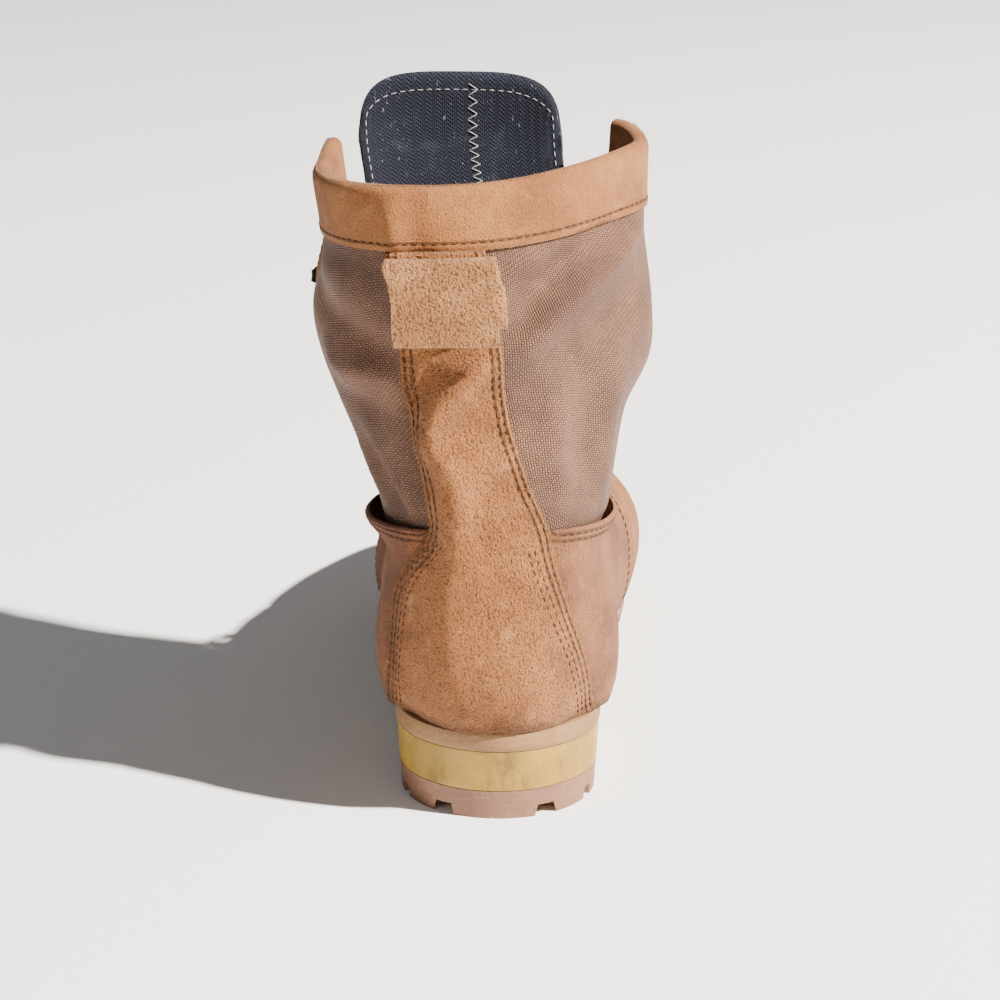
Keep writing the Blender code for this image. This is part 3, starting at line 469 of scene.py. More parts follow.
class Skin:
    """The upper's outside, by strip around or distance from the back, and by ring up."""

    def __init__(self):
        self.lines, self.runs, self.knots, self.rises = {}, {}, {}, {}
        for side, tag in SIDES:
            lines = ring_lines(side)
            runs = lengths_along(lines)
            length = runs[:, -1]
            stay = seam_values("stay_" + tag)
            throat = length - seam_values("throat_" + tag)
            spread = stay + (throat - stay) * SIDE_SPREAD
            narrow = ease(THROAT_RING - 2, THROAT_RING, MASTER_UPS)
            eyestay = spread + (throat - EYESTAY_WIDTH - spread) * narrow
            knots = np.stack([np.zeros_like(stay), stay, eyestay, throat, length], axis=1)
            rise = EAR_HEIGHT * ease(CUFF_RING, COLLAR_RING, MASTER_UPS)[:, None]
            rise = rise * ease(0.75, 1.0, runs / throat[:, None])
            if side == MEDIAL:
                climb = MEDIAL_RISE * ease(CUFF_RING - 1.5, CUFF_RING, MASTER_UPS)[:, None]
                rise = rise + climb * ease(0.1, 0.8, runs / throat[:, None])
            self.lines[side], self.runs[side], self.knots[side] = lines, runs, knots
            self.rises[side] = rise

    def on_ring(self, side, k, places, raised=True):
        line, run = self.lines[side][k], self.runs[side][k]
        found = between_points(line, run, places)
        if raised:
            found[..., 2] += np.interp(places, run, self.rises[side][k])
        return found

    def place(self, strip, up):
        """Distance from the back, medial positive, of a signed strip number on a ring."""
        side = MEDIAL if strip >= 0 else LATERAL
        knots = [np.interp(up, MASTER_UPS, self.knots[side][:, k]) for k in range(len(STRIPS))]
        return side * np.interp(abs(strip), STRIPS, knots)

    def places(self, strips, ups, inset=0.0):
        """The places of strips on rings, moved towards the back by inset."""
        strips, ups = np.broadcast_arrays(strips, ups)
        found = np.array([self.place(strip, up) for strip, up in zip(strips, ups)])
        return found - np.sign(strips) * inset

    def grid(self, strips, ups):
        """Points over strips around and rings up."""
        strips = (np.asarray(strips, float) + FRONT) % (2 * FRONT) - FRONT
        low, share = rows_at(ups)
        rings = np.zeros((len(MASTER_UPS), len(strips), 3))
        for side, _ in SIDES:
            mine = strips >= 0 if side == MEDIAL else strips < 0
            if not mine.any():
                continue
            for k in range(low.min(), low.max() + 2):
                places = np.interp(np.abs(strips[mine]), STRIPS, self.knots[side][k])
                rings[k, mine] = self.on_ring(side, k, places)
        share = share[:, None, None]
        return rings[low] * (1 - share) + rings[low + 1] * share

    def points(self, places, ups, raised=True):
        """Points at signed distances from the back and rings up, one by one."""
        found = np.zeros((len(places), 3))
        for i, (place, k, share) in enumerate(zip(places, *rows_at(ups))):
            side = MEDIAL if place >= 0 else LATERAL
            low, high = (self.on_ring(side, row, np.array([abs(place)]), raised)[0] for row in (k, k + 1))
            found[i] = low * (1 - share) + high * share
        return found

    def frames(self, places, ups, raised=True):
        """Points with their outward normals and their directions around and up."""
        places, ups = np.asarray(places, float), np.asarray(ups, float)
        points = self.points(places, ups, raised)
        around = unit(self.points(places + MM, ups, raised) - self.points(places - MM, ups, raised))
        rise = unit(self.points(places, ups + 0.06, raised) - self.points(places, ups - 0.06, raised))
        return points, unit(np.cross(around, rise)), around, rise


# Creases: soft ridges and troughs, each along a route over the upper

Fold = namedtuple("Fold", "height width route")
# height and width are in millimetres, a route's points are (distance around from the back as a
# share of HEEL_WIDTH, medial positive, and ring number up).
FOLDS = (
    # Back strip: a crest that wanders down the heel, with hollows beside it
    Fold(2.4, 5.0, ((-0.15, 14.0), (-0.17, 13.5), (-0.18, 12.6), (-0.17, 11.6))),
    Fold(4.2, 6.0, (
        (0.24, 11.7), (0.20, 11.2), (0.12, 10.9), (0.01, 10.5), (-0.09, 10.05), (-0.13, 9.6), (-0.10, 9.1),
    )),
    Fold(3.8, 6.0, ((-0.11, 9.9), (-0.13, 9.55), (-0.09, 9.15), (-0.06, 8.55), (-0.08, 7.7), (-0.12, 6.2))),
    Fold(2.6, 8.0, ((-0.08, 7.7), (-0.12, 5.6), (-0.21, 3.5), (-0.19, 1.7), (-0.12, 0.1))),
    Fold(-4.0, 5.5, ((-0.08, 11.4), (-0.13, 10.7), (-0.21, 9.95), (-0.22, 9.3), (-0.20, 8.4))),
    Fold(-2.6, 4.5, ((-0.14, 11.45), (0.00, 11.35), (0.12, 11.5))),
    Fold(-2.0, 6.0, ((-0.22, 8.2), (-0.25, 6.8), (-0.30, 5.2))),
    Fold(1.2, 4.5, ((-0.19, 11.3), (-0.25, 10.4), (-0.27, 9.5))),
    Fold(-1.2, 5.0, ((0.02, 9.9), (0.12, 9.7), (0.22, 9.75))),
    Fold(1.1, 5.0, ((-0.02, 9.0), (0.12, 9.1), (0.24, 9.4))),
    Fold(-1.1, 4.5, ((-0.04, 8.45), (0.10, 8.3), (0.26, 8.35))),
    Fold(0.9, 5.0, ((0.00, 7.8), (0.14, 7.7), (0.28, 7.8))),
    # Medial nylon: a sharp crest from the collar's front to the back strip and soft ones below
    Fold(6.2, 5.6, ((1.28, 12.9), (1.08, 12.6), (0.86, 12.3), (0.58, 11.85), (0.37, 11.25), (0.22, 10.8))),
    Fold(-5.4, 6.0, ((1.00, 12.95), (0.76, 12.72), (0.59, 12.45), (0.43, 12.1), (0.29, 11.6))),
    Fold(-3.6, 8.0, ((1.20, 12.0), (0.95, 11.6), (0.72, 11.1), (0.50, 10.6))),
    Fold(2.2, 5.0, ((0.90, 13.0), (0.62, 12.88), (0.36, 12.7))),
    Fold(3.0, 7.0, ((0.40, 11.0), (0.47, 10.4), (0.48, 9.8), (0.44, 9.2), (0.46, 8.6), (0.42, 7.8))),
    Fold(-2.8, 7.5, ((0.68, 10.6), (0.68, 9.8), (0.62, 9.0), (0.58, 8.2))),
    Fold(2.4, 7.0, ((0.92, 10.8), (0.86, 9.9), (0.80, 9.0), (0.74, 8.0))),
    Fold(-1.4, 4.0, ((0.30, 8.5), (0.42, 8.15), (0.60, 7.9))),
    Fold(1.4, 4.0, ((0.34, 7.9), (0.50, 7.6), (0.70, 7.5))),
    # Lateral nylon: a level crease low on the shaft and slack pleats into the heel
    Fold(3.4, 5.0, ((-0.74, 10.95), (-0.59, 10.75), (-0.41, 10.72), (-0.24, 10.6))),
    Fold(-3.4, 6.5, ((-0.95, 12.1), (-0.74, 11.75), (-0.50, 11.45), (-0.33, 11.15), (-0.24, 11.1))),
    Fold(2.2, 7.0, ((-1.00, 12.7), (-0.75, 12.5), (-0.50, 12.3), (-0.30, 12.2))),
    Fold(-2.4, 5.0, ((-0.85, 10.3), (-0.62, 10.15), (-0.42, 10.05), (-0.30, 10.0))),
    Fold(-2.2, 4.5, ((-0.60, 9.5), (-0.52, 8.7), (-0.44, 7.9), (-0.40, 7.3))),
    Fold(1.7, 4.0, ((-0.50, 9.6), (-0.42, 8.8), (-0.36, 8.0), (-0.32, 7.4))),
    Fold(1.7, 4.5, ((-0.72, 9.3), (-0.64, 8.5), (-0.56, 7.7))),
    # Quarters and heel
    Fold(-1.9, 9.0, ((0.72, 6.2), (0.95, 5.2), (1.15, 4.4))),
    Fold(1.4, 9.0, ((0.55, 6.3), (0.58, 5.0), (0.66, 3.6))),
    Fold(-1.8, 6.0, ((-0.50, 6.4), (-0.68, 5.7), (-0.86, 5.2), (-1.05, 4.9))),
    Fold(1.1, 7.0, ((-0.45, 4.6), (-0.60, 3.6), (-0.75, 2.6))),
    # Instep and ball, where the boot has bent
    Fold(-2.0, 5.0, ((1.9, 6.6), (2.2, 5.6), (2.5, 4.6))),
    Fold(1.5, 6.0, ((2.05, 6.9), (2.35, 5.9), (2.7, 4.9))),
    Fold(-1.8, 5.0, ((2.5, 5.6), (2.75, 4.6), (2.85, 3.4))),
    Fold(-1.9, 5.0, ((-2.0, 6.6), (-2.3, 5.6), (-2.6, 4.6))),
    Fold(1.4, 6.0, ((-2.15, 6.9), (-2.45, 5.9), (-2.8, 4.9))),
    Fold(-1.6, 5.0, ((-2.6, 5.6), (-2.85, 4.6), (-2.95, 3.4))),
)


def fold_routes(skin):
    routes = []
    for fold in FOLDS:
        marks = np.array(fold.route) * (HEEL_WIDTH, 1.0)
        around, ups = curve_through(marks, 4 * len(marks)).T
        routes.append(skin.points(around, ups))
    return routes


def relief(points, routes):
    """Height of the creases over the upper's plain form at these points."""
    flat = points.reshape(-1, 3)
    height = np.zeros(len(flat))
    for fold, route in zip(FOLDS, routes):
        width = fold.width * MM
        near = np.all((flat > route.min(0) - 2.5 * width) & (flat < route.max(0) + 2.5 * width), axis=1)
        if not near.any():
            continue
        here = flat[near][:, None, :]
        start, step = route[:-1][None], np.diff(route, axis=0)[None]
        share = np.clip(((here - start) * step).sum(2) / np.maximum((step**2).sum(2), 1e-12), 0, 1)
        gap = np.linalg.norm(here - (start + share[..., None] * step), axis=2)
        best = gap.argmin(axis=1)
        rows = np.arange(len(best))
        along = (best + share[rows, best]) / (len(route) - 1)
        fade = np.sqrt(np.clip(np.sin(np.pi * np.clip(along, 0.02, 0.98)), 0, 1))
        height[near] += fold.height * MM * fade * np.exp(-((gap[rows, best] / width) ** 2))
    return height.reshape(points.shape[:-1])


def waver(points, size, seed):
    """Smooth noise between -1 and 1 with features of about this size."""
    flat = points.reshape(-1, 3) / size + 100.0 + seed * 7.31
    cell = np.floor(flat).astype(np.int64)
    part = flat - cell
    part = part * part * (3 - 2 * part)
    total = np.zeros(len(flat))
    for corner in range(8):
        bits = np.array([corner & 1, corner >> 1 & 1, corner >> 2 & 1])
        at = cell + bits
        mixed = (at[:, 0] * 73856093) ^ (at[:, 1] * 19349663) ^ (at[:, 2] * 83492791) ^ (seed * 2654435761)
        value = ((mixed * 1103515245 + 12345) >> 8 & 0xFFFF) / 32767.5 - 1
        weight = np.prod(np.where(bits == 1, part, 1 - part), axis=1)
        total += value * weight
    return total.reshape(points.shape[:-1])


# Meshes


def placed(name, data):
    """An object of this data, in the scene."""
    obj = bpy.data.objects.new(name, data)
    bpy.context.scene.collection.objects.link(obj)
    return obj


def add_mesh(name, points, faces, paints, face_paint=None, sharp=50):
    mesh = bpy.data.meshes.new(name)
    mesh.from_pydata(np.asarray(points, float).tolist(), [], faces)
    obj = placed(name, mesh)
    for paint in paints:
        mesh.materials.append(PAINTS[paint])
    if face_paint is not None:
        mesh.polygons.foreach_set("material_index", np.asarray(face_paint, np.int32))
    mesh.shade_smooth()
    mesh.set_sharp_from_angle(angle=math.radians(sharp))
    mesh.update()
    return obj


def hoops(count, sides, first=0, flip=False, closed=False):
    """Faces between neighbouring hoops of points; closed joins the last hoop to the first."""
    faces = []
    for i in range(count if closed else count - 1):
        for k in range(sides):
            a, b = i * sides + k, i * sides + (k + 1) % sides
            c, d = ((n + sides) % (count * sides) for n in (b, a))
            face = (b, a, d, c) if flip else (a, b, c, d)
            faces.append(tuple(first + n for n in face))
    return faces


def add_value(obj, name, values):
    field = obj.data.attributes.new(name, "FLOAT", "POINT")
    field.data.foreach_set("value", np.asarray(values, np.float32))


def add_cloth_map(obj, across, along):
    """A UV map in metres over the cloth, from two values for each point."""
    layer = obj.data.uv_layers.new(name="cloth")
    corners = np.zeros(len(obj.data.loops), np.int32)
    obj.data.loops.foreach_get("vertex_index", corners)
    pairs = np.stack([np.asarray(across)[corners], np.asarray(along)[corners]], axis=1)
    layer.data.foreach_set("uv", pairs.astype(np.float32).ravel())


def dressed(obj, slot, *nodes):
    """A piece that rides on the boot and stands for these nodes, whose solids it hides; slot is not used.
    """
    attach(obj, "root")
    if nodes:
        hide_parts(*nodes)
    return obj


class Sheet:
    """A thickness of material over a grid of points, closed at its borders."""

    def __init__(self, inner, outer, cells=None, loop=False):
        self.inner, self.outer = inner, outer
        self.rows, self.columns = inner.shape[:2]
        self.loop = loop
        width = self.columns if loop else self.columns - 1
        self.cells = np.ones((self.rows - 1, width), bool) if cells is None else cells

    def border_mask(self):
        """Grid points on the border of the chosen cells."""
        count = np.zeros((self.rows, self.columns), int)
        for a in (0, 1):
            for b in (0, 1):
                part = np.zeros_like(count)
                rows, columns = self.cells.shape
                part[a:a + rows, b:b + columns] = self.cells[:, :self.columns - b]
                if self.loop and b:
                    part = np.zeros_like(count)
                    part[a:a + self.cells.shape[0]] = np.roll(self.cells, 1, axis=1)
                count += part
        return (count > 0) & (count < 4)

    def build(self, name, paints, inner_paint=0, rim_paint=0, sharp=50):
        cells, columns = self.cells, self.columns
        used, faces, face_paint = {}, [], []

        def corner(layer, i, j):
            return used.setdefault((layer, i, j % columns if self.loop else j), len(used))

        def has(i, j):
            if self.loop:
                j %= columns
            return 0 <= i < cells.shape[0] and 0 <= j < cells.shape[1] and cells[i, j]

        for i, j in zip(*np.nonzero(cells)):
            i, j = int(i), int(j)
            around = (i, j), (i, j + 1), (i + 1, j + 1), (i + 1, j)
            faces.append(tuple(corner(1, *at) for at in around))
            faces.append(tuple(corner(0, *around[n]) for n in (0, 3, 2, 1)))
            face_paint.extend((0, inner_paint))
            for beyond, start, end in (
                ((i - 1, j), (i, j), (i, j + 1)),
                ((i + 1, j), (i + 1, j + 1), (i + 1, j)),
                ((i, j - 1), (i + 1, j), (i, j)),
                ((i, j + 1), (i, j + 1), (i + 1, j + 1)),
            ):
                if not has(*beyond):
                    faces.append((corner(0, *start), corner(0, *end), corner(1, *end), corner(1, *start)))
                    face_paint.append(rim_paint)
        layers = (self.inner, self.outer)
        self.order = list(used)
        points = np.array([layers[layer][i, j] for layer, i, j in self.order])
        return add_mesh(name, points, faces, paints, face_paint, sharp)

    def spread(self, values):
        """One value for each mesh point, from a grid of values."""
        return np.array([values[i, j] for _, i, j in self.order])

    def add_distances(self, obj, edge, seam=None, lift=None):
        """Each point's way to the piece's edge, to its sewn edge and up from the sole."""
        far = np.full_like(edge, FAR)
        for name, values in (("edge", edge), ("seam", seam), ("lift", lift)):
            add_value(obj, name, self.spread(far if values is None else values))

    def add_cloth(self, obj, points):
        """The cloth's UV map, from the lengths across and along a grid."""
        across = lengths_along(points)
        across -= across[:, across.shape[1] // 2][:, None]
        along = lengths_along(points.swapaxes(0, 1)).T
        add_cloth_map(obj, self.spread(across), self.spread(along))


def distances(points, marks):
    """Each point's distance to the nearest mark."""
    tree = KDTree(len(marks))
    for k, mark in enumerate(marks):
        tree.insert(mark, k)
    tree.balance()
    flat = points.reshape(-1, 3)
    return np.array([tree.find(point)[2] for point in flat]).reshape(points.shape[:-1])


def border_points(grid):
    return np.concatenate([grid[0], grid[-1], grid[:, 0], grid[:, -1]])


# Pieces of the upper: how far borders are rounded, and stitch rows from a sewn edge

EDGE_ROUND = 1.2 * MM
PAIR = (1.9 * MM, 4.3 * MM)
COUNTER_ROWS = (6.9 * MM, 9.4 * MM)
CUFF_ROW = 2.8 * MM
FAR = 0.1
NAP_FINE = 1.1 * MM
NAP_COARSE = 2.7 * MM


def form(skin, routes, strips, ups, loop=False):
    """The creased outside of the upper over a grid, with its outward normals."""
    points = skin.grid(strips, ups)
    if loop:
        around = np.roll(points, -1, axis=1) - np.roll(points, 1, axis=1)
    else:
        around = np.gradient(points, axis=1)
    normals = unit(np.cross(unit(around), unit(np.gradient(points, axis=0))))
    normals[..., 2] *= ease(0, 2, ups)[:, None]
    normals = unit(normals)
    return points + normals * relief(points, routes)[..., None], normals


def seated(grid):
    """The lowest row just clears the sole's curved top."""
    grid = grid.copy()
    grid[0, :, 2] = sole_top(grid[0, :, 1]) + FIT
    return grid


def rounded(gap, radius):
    """0 at an edge, rising to 1 at this distance from it as a quarter round."""
    return np.sqrt(np.clip(1 - (1 - np.clip(gap / radius, 0, 1)) ** 2, 0, 1))


def build_body(skin, routes):
    """Nylon wall with its lining, down to the sole."""
    per_strip, per_ring = 6, 10
    strips = np.linspace(-FRONT, FRONT, 2 * FRONT * per_strip + 1)[:-1]
    ups = np.linspace(0, COLLAR_RING, COLLAR_RING * per_ring + 1)
    points, normals = form(skin, routes, strips, ups, loop=True)
    middles = strips + 0.5 / per_strip
    cells = np.ones((len(ups) - 1, len(strips)), bool)
    cells[ups[:-1] >= THROAT_RING] = np.abs(middles) < THROAT
    nylon = (np.abs(strips) >= STAY) & (np.abs(strips) <= EYESTAY)
    covered = ~(nylon[None] & (ups[:, None] >= THROAT_RING))
    outer = points - normals * np.where(covered, FIT, 0)[..., None]
    sheet = Sheet(seated(points - normals * WALL), seated(outer), cells, loop=True)
    obj = sheet.build("upper_body", ("nylon", "lining"), inner_paint=1, rim_paint=1)
    sheet.add_cloth(obj, points)
    dressed(obj, "nylon", "upper")


def panel(names, paint, surface, thickness, sewn, grit, cells=None, lift=0.0):
    """A leather panel over the wall, with rounded borders and each point's distance to its sewn points,
    from which its paint draws stitch furrows.
    """
    name, slot, node = names
    points, normals = surface
    base = points + normals * (FIT + np.asarray(lift))[..., None]
    sheet = Sheet(base, base, cells)
    border = sheet.border_mask()
    border[0] = False
    gap = distances(points, points[border])
    body = thickness * (0.5 + 0.5 * rounded(gap, EDGE_ROUND))
    nap = grit * (waver(points, NAP_FINE, 3) + 0.6 * waver(points, NAP_COARSE, 5))
    nap = nap * rounded(gap, 3 * EDGE_ROUND)
    sheet.inner = seated(base)
    sheet.outer = seated(base + normals * (body + nap)[..., None])
    obj = sheet.build(name, (paint,))
    seam = distances(points, points[border & sewn])
    sheet.add_distances(obj, gap, seam, points[..., 2] - sole_top(points[..., 1]))
    return dressed(obj, slot, node)


def build_backstay(skin, routes):
    strips = np.linspace(-STAY + 0.03, STAY - 0.03, 81)
    surface = form(skin, routes, strips, np.linspace(0, CUFF_RING, CUFF_RING * 18 + 1))
    names = ("backstay_leather", "suede", "backstay")
    panel(names, "suede", surface, BACKSTAY_LEATHER, np.abs(strips) > STAY - 0.1, grit=0.14 * MM)


def ledge_lift(side, strips, ups):
    """The quarter's slack top edge stands off the shaft."""
    swell = np.sin(np.clip((np.abs(strips) - STAY) / (EYESTAY - STAY), 0, 1) * math.pi) ** 0.7
    rise = ease(THROAT_RING - 2.2, THROAT_RING, ups) * (ups <= THROAT_RING + 1e-6)
    return (LEDGE_MEDIAL if side == MEDIAL else LEDGE_LATERAL) * swell * rise


def build_quarters(skin, routes):
    for side, tag in SIDES:
        strips = np.sort(side * np.linspace(STAY, THROAT, (THROAT - STAY) * 8 + 1))
        ups = np.linspace(0, CUFF_RING, CUFF_RING * 13 + 1)
        surface = form(skin, routes, strips, ups)
        middles = np.abs(strips[:-1] + strips[1:]) / 2
        cells = np.ones((len(ups) - 1, len(strips) - 1), bool)
        cells[ups[:-1] >= THROAT_RING - 1e-6] = middles > EYESTAY
        lift = ledge_lift(side, strips[None, :], ups[:, None])
        names = ("quarter_leather_" + tag, "nubuck", "quarter_" + tag)
        sewn = np.abs(strips) > STAY + 0.05
        panel(names, "nubuck", surface, QUARTER_LEATHER, sewn, grit=0.03 * MM, cells=cells, lift=lift)


def build_vamp(skin, routes):
    strips = np.linspace(THROAT + 0.03, 2 * FRONT - THROAT - 0.03, (FRONT - THROAT) * 2 * 9 + 1)
    ups = np.linspace(0, THROAT_RING, THROAT_RING * 16 + 1)
    surface = form(skin, routes, strips, ups)
    names = ("vamp_leather", "suede", "vamp")
    panel(names, "suede", surface, VAMP_LEATHER, (ups > THROAT_RING - 0.05)[:, None], grit=0.08 * MM)


def build_cuff(skin, routes):
    """Band round the collar, rolled over the rim and down inside."""
    strips = np.linspace(-THROAT, THROAT, 2 * THROAT * 8 + 1)
    ups = np.linspace(CUFF_RING - 1, COLLAR_RING, 29)
    points, normals = form(skin, routes, strips, ups)
    outside = ups >= CUFF_RING - 1e-6
    rim = points[-1] - normals[-1] * WALL / 2
    rise = unit(points[-1] - points[-3])
    turns = np.linspace(0, math.pi, 11)[1:-1]
    inside = np.nonzero(ups >= CUFF_RING - 0.25)[0][::-1]

    def layer(lift):
        rows = list(points[outside] + normals[outside] * lift)
        radius = WALL / 2 + lift
        rows += [rim + radius * (math.cos(t) * normals[-1] + math.sin(t) * rise) for t in turns]
        rows += [points[k] - normals[k] * (WALL + lift) for k in inside]
        return np.array(rows)

    middle = layer(FIT + CUFF_LEATHER)
    gap = distances(middle, border_points(middle))
    under = layer(FIT)
    outer = under + (middle - under) * (0.5 + 0.5 * rounded(gap, EDGE_ROUND))[..., None]
    sheet = Sheet(under, outer)
    obj = sheet.build("cuff_leather", ("cuff_suede",))
    sheet.add_distances(obj, gap, distances(middle, middle[0]))
    dressed(obj, "nubuck", "cuff")


# Stitches and stray fibres

STITCH = 2.7 * MM
STITCH_GAP = 0.8 * MM
CAPSULE = ((0.0, 0.35), (0.12, 0.85), (0.35, 1.0), (0.65, 1.0), (0.88, 0.85), (1.0, 0.35))
FIBRE = ((0.0, 1.0), (0.6, 0.8), (1.0, 0.2))
THREAD = 0.3 * MM
QUARTER_THREAD = 0.28 * MM
TONGUE_THREAD = 0.22 * MM
COUNTER_TOP = 6.6
FIBRE_RADIUS = 0.055 * MM
SEAM_FIBRE = 1.1 * MM
RIM_FIBRE = 1.2 * MM
EDGE_FIBRES = 900


def capsules(name, segments, radius, paint, profile=CAPSULE, sides=6):
    """One mesh of short round rods; each segment is a start, an end and the way off the surface."""
    starts, ends, offs = (np.array([segment[k] for segment in segments]) for k in range(3))
    ahead = unit(ends - starts)
    side = unit(np.cross(offs, ahead))
    off = np.cross(ahead, side)
    shares, thick = np.array(profile).T
    angles = np.linspace(0, 2 * math.pi, sides, endpoint=False)
    centres = starts[:, None] + (ends - starts)[:, None] * shares[None, :, None]
    dip = (2 * shares - 1) ** 2
    centres = centres - off[:, None] * (dip * radius)[None, :, None]
    turn = np.cos(angles)[None, :, None] * side[:, None] + np.sin(angles)[None, :, None] * off[:, None]
    points = centres[:, :, None] + turn[:, None] * (thick * radius)[None, :, None, None]
    count = len(profile)
    faces = []
    for n in range(len(segments)):
        first = n * count * sides
        faces += hoops(count, sides, first)
        faces.append(tuple(range(first, first + sides))[::-1])
        faces.append(tuple(range(first + (count - 1) * sides, first + count * sides)))
    return add_mesh(name, points.reshape(-1, 3), faces, (paint,), sharp=80)


def stitch_row(line, normals):
    """Segments of even stitches along a line on a surface."""
    run = lengths_along(line)
    at = np.arange(STITCH_GAP, run[-1] - STITCH, STITCH + STITCH_GAP)
    ends = [between_points(line, run, where) for where in (at, at + STITCH)]
    return list(zip(*ends, unit(between_points(normals, run, at + STITCH / 2))))


def surface_row(skin, routes, places, ups, lift):
    """Stitches along places and rings of the upper, lying on leather of this thickness."""
    points, normals, _, _ = skin.frames(places, ups)
    return stitch_row(points + normals * (lift + relief(points, routes))[:, None], normals)


def build_stitches(skin, routes):
    rows = [(inset, CUFF_RING - 0.3) for inset in PAIR] + [(inset, COUNTER_TOP) for inset in COUNTER_ROWS]
    segments = []
    for side, _ in SIDES:
        for inset, top in rows:
            ups = np.linspace(0.25, top, 150)
            places = skin.places(side * STAY, ups, inset)
            segments += surface_row(skin, routes, places, ups, FIT + BACKSTAY_LEATHER)
    dressed(capsules("backstay_stitches", segments, THREAD, "dark_thread"), "suede")

    lift = FIT + QUARTER_LEATHER
    for side, tag in SIDES:
        strips = side * np.linspace(STAY + 0.15, EYESTAY, 90)
        places = skin.places(strips, THROAT_RING)
        ledge, lower = (skin.points(places, np.full(90, THROAT_RING - down)) for down in (0, 0.5))
        tall = np.linalg.norm(ledge - lower, axis=1)
        segments = []
        for inset in PAIR:
            ups = THROAT_RING - 0.5 * inset / tall
            thick = lift + ledge_lift(side, strips, ups)
            segments += surface_row(skin, routes, skin.places(strips, ups), ups, thick)
        for inset in PAIR:
            for strip, low, count, way in ((EYESTAY, THROAT_RING + 0.3, 120, -1), (THROAT, 0.3, 150, 1)):
                ups = np.linspace(low, CUFF_RING - 0.1, count)
                places = skin.places(side * strip, ups, way * inset)
                segments += surface_row(skin, routes, places, ups, lift)
        dressed(capsules("quarter_stitches_" + tag, segments, QUARTER_THREAD, "dark_thread"), "nubuck")

    strips = np.linspace(-THROAT + 0.25, THROAT - 0.25, 300)
    ups = np.full(300, CUFF_RING + CUFF_ROW / (0.1 * UPPER_HEIGHT))
    segments = surface_row(skin, routes, skin.places(strips, ups), ups, FIT + CUFF_LEATHER)
    dressed(capsules("cuff_stitches", segments, THREAD, "dark_thread"), "nubuck")


def fringe(random, line, outward, off, count, length):
    """Stray fibres that stand out of a raw edge."""
    pick = random.integers(0, len(line), count)
    tilt = random.normal(0, 0.6, (count, 3))
    way = unit(outward[pick] + tilt + 0.4 * off[pick])
    reach = length * random.uniform(0.4, 1.0, count)[:, None]
    start = line[pick] - outward[pick] * 0.3 * MM
    return list(zip(start, start + way * reach, off[pick]))


def build_fibres(skin, routes):
    random = np.random.default_rng(11)
    segments = []
    for side, _ in SIDES:
        ups = np.linspace(0.2, CUFF_RING - 0.1, 420)
        points, normals, around, _ = skin.frames(skin.places(side * STAY, ups), ups)
        line = points + normals * (FIT + BACKSTAY_LEATHER * 0.8 + relief(points, routes))[:, None]
        segments += fringe(random, line, side * around, normals, EDGE_FIBRES, SEAM_FIBRE)
    strips = np.linspace(-THROAT, THROAT, 500)
    rim = WALL / 2 + FIT + CUFF_LEATHER * 0.95
    for up, way, lift, over in ((CUFF_RING, -1, CUFF_LEATHER * 0.8, 0.0), (COLLAR_RING, 1, 0.0, rim)):
        ups = np.full(500, float(up))
        points, normals, _, rise = skin.frames(skin.places(strips, ups), ups)
        line = points + normals * (FIT + lift) + over * rise
        segments += fringe(random, line, way * rise, normals, EDGE_FIBRES, RIM_FIBRE)
    dressed(capsules("edge_fibres", segments, FIBRE_RADIUS, "nap_fibre", FIBRE, 3), "suede")


# Tongue: its grid, the passes that draw it flat, and its stitches' rows and columns

TONGUE_COLUMNS = 67
TONGUE_LEVELS = 150
TONGUE_ROWS = 130
TONGUE_PASSES = 20
TONGUE_BEND_SPREAD = 0.9
TONGUE_ROUND = 2.6 * MM
TONGUE_EASE = 0.5 * np.cos(np.linspace(-math.pi / 2, math.pi / 2, TONGUE_COLUMNS))[1:-1, None] ** 2
TONGUE_HEM = 8
TONGUE_HEM_ROWS = slice(20, -3)
TONGUE_SPINE = 29
TONGUE_SPINE_ROWS = range(30, 128)


def tongue_rows(skin):
    """Ring numbers, points and normals of a grid whose straight columns end in a rounded top."""
    shares = np.sin(np.linspace(math.pi / 2, -math.pi / 2, TONGUE_COLUMNS))
    level = np.linspace(TONGUE_START, TONGUE_END, TONGUE_LEVELS)
    spread = ease(TONGUE_START, COLLAR_RING - 2, level)[:, None]
    width = TONGUE_BASE_WIDTH + (TONGUE_WIDTH - TONGUE_BASE_WIDTH) * spread
    reach = shares * width / 2 - TONGUE_SHIFT * spread
    half = {side: np.interp(level, MASTER_UPS, skin.runs[side][:, -1])[:, None] for side, _ in SIDES}
    places = np.where(reach > 0, half[MEDIAL] - reach, -(half[LATERAL] + reach))
    flat = np.broadcast_to(level[:, None], places.shape)
    rows = skin.points(places.ravel(), flat.ravel(), raised=False).reshape(*places.shape, 3)
    chord = rows[:, :1] + (rows[:, -1:] - rows[:, :1]) * ((1 - shares) / 2)[None, :, None]
    rows = rows + (chord - rows) * (TONGUE_FLATNESS, TONGUE_FLATNESS, TONGUE_DROOP)
    for _ in range(TONGUE_PASSES):
        rows[:, 1:-1] += ((rows[:, 2:] + rows[:, :-2]) / 2 - rows[:, 1:-1]) * TONGUE_EASE
    arch = (1 - np.abs(shares) ** TONGUE_POWER) ** (1 / TONGUE_POWER)
    tops = COLLAR_RING + (TONGUE_END - COLLAR_RING) * arch
    ups = TONGUE_START + np.linspace(0, 1, TONGUE_ROWS)[:, None] * (tops - TONGUE_START)
    normals = unit(np.cross(np.gradient(rows, axis=1), np.gradient(rows, axis=0)))
    grid, facing = np.zeros((2, *ups.shape, 3))
    for j in range(len(shares)):
        grid[:, j] = between_points(rows[:, j], level, ups[:, j])
        facing[:, j] = between_points(normals[:, j], level, ups[:, j])
    return ups, grid, unit(facing)


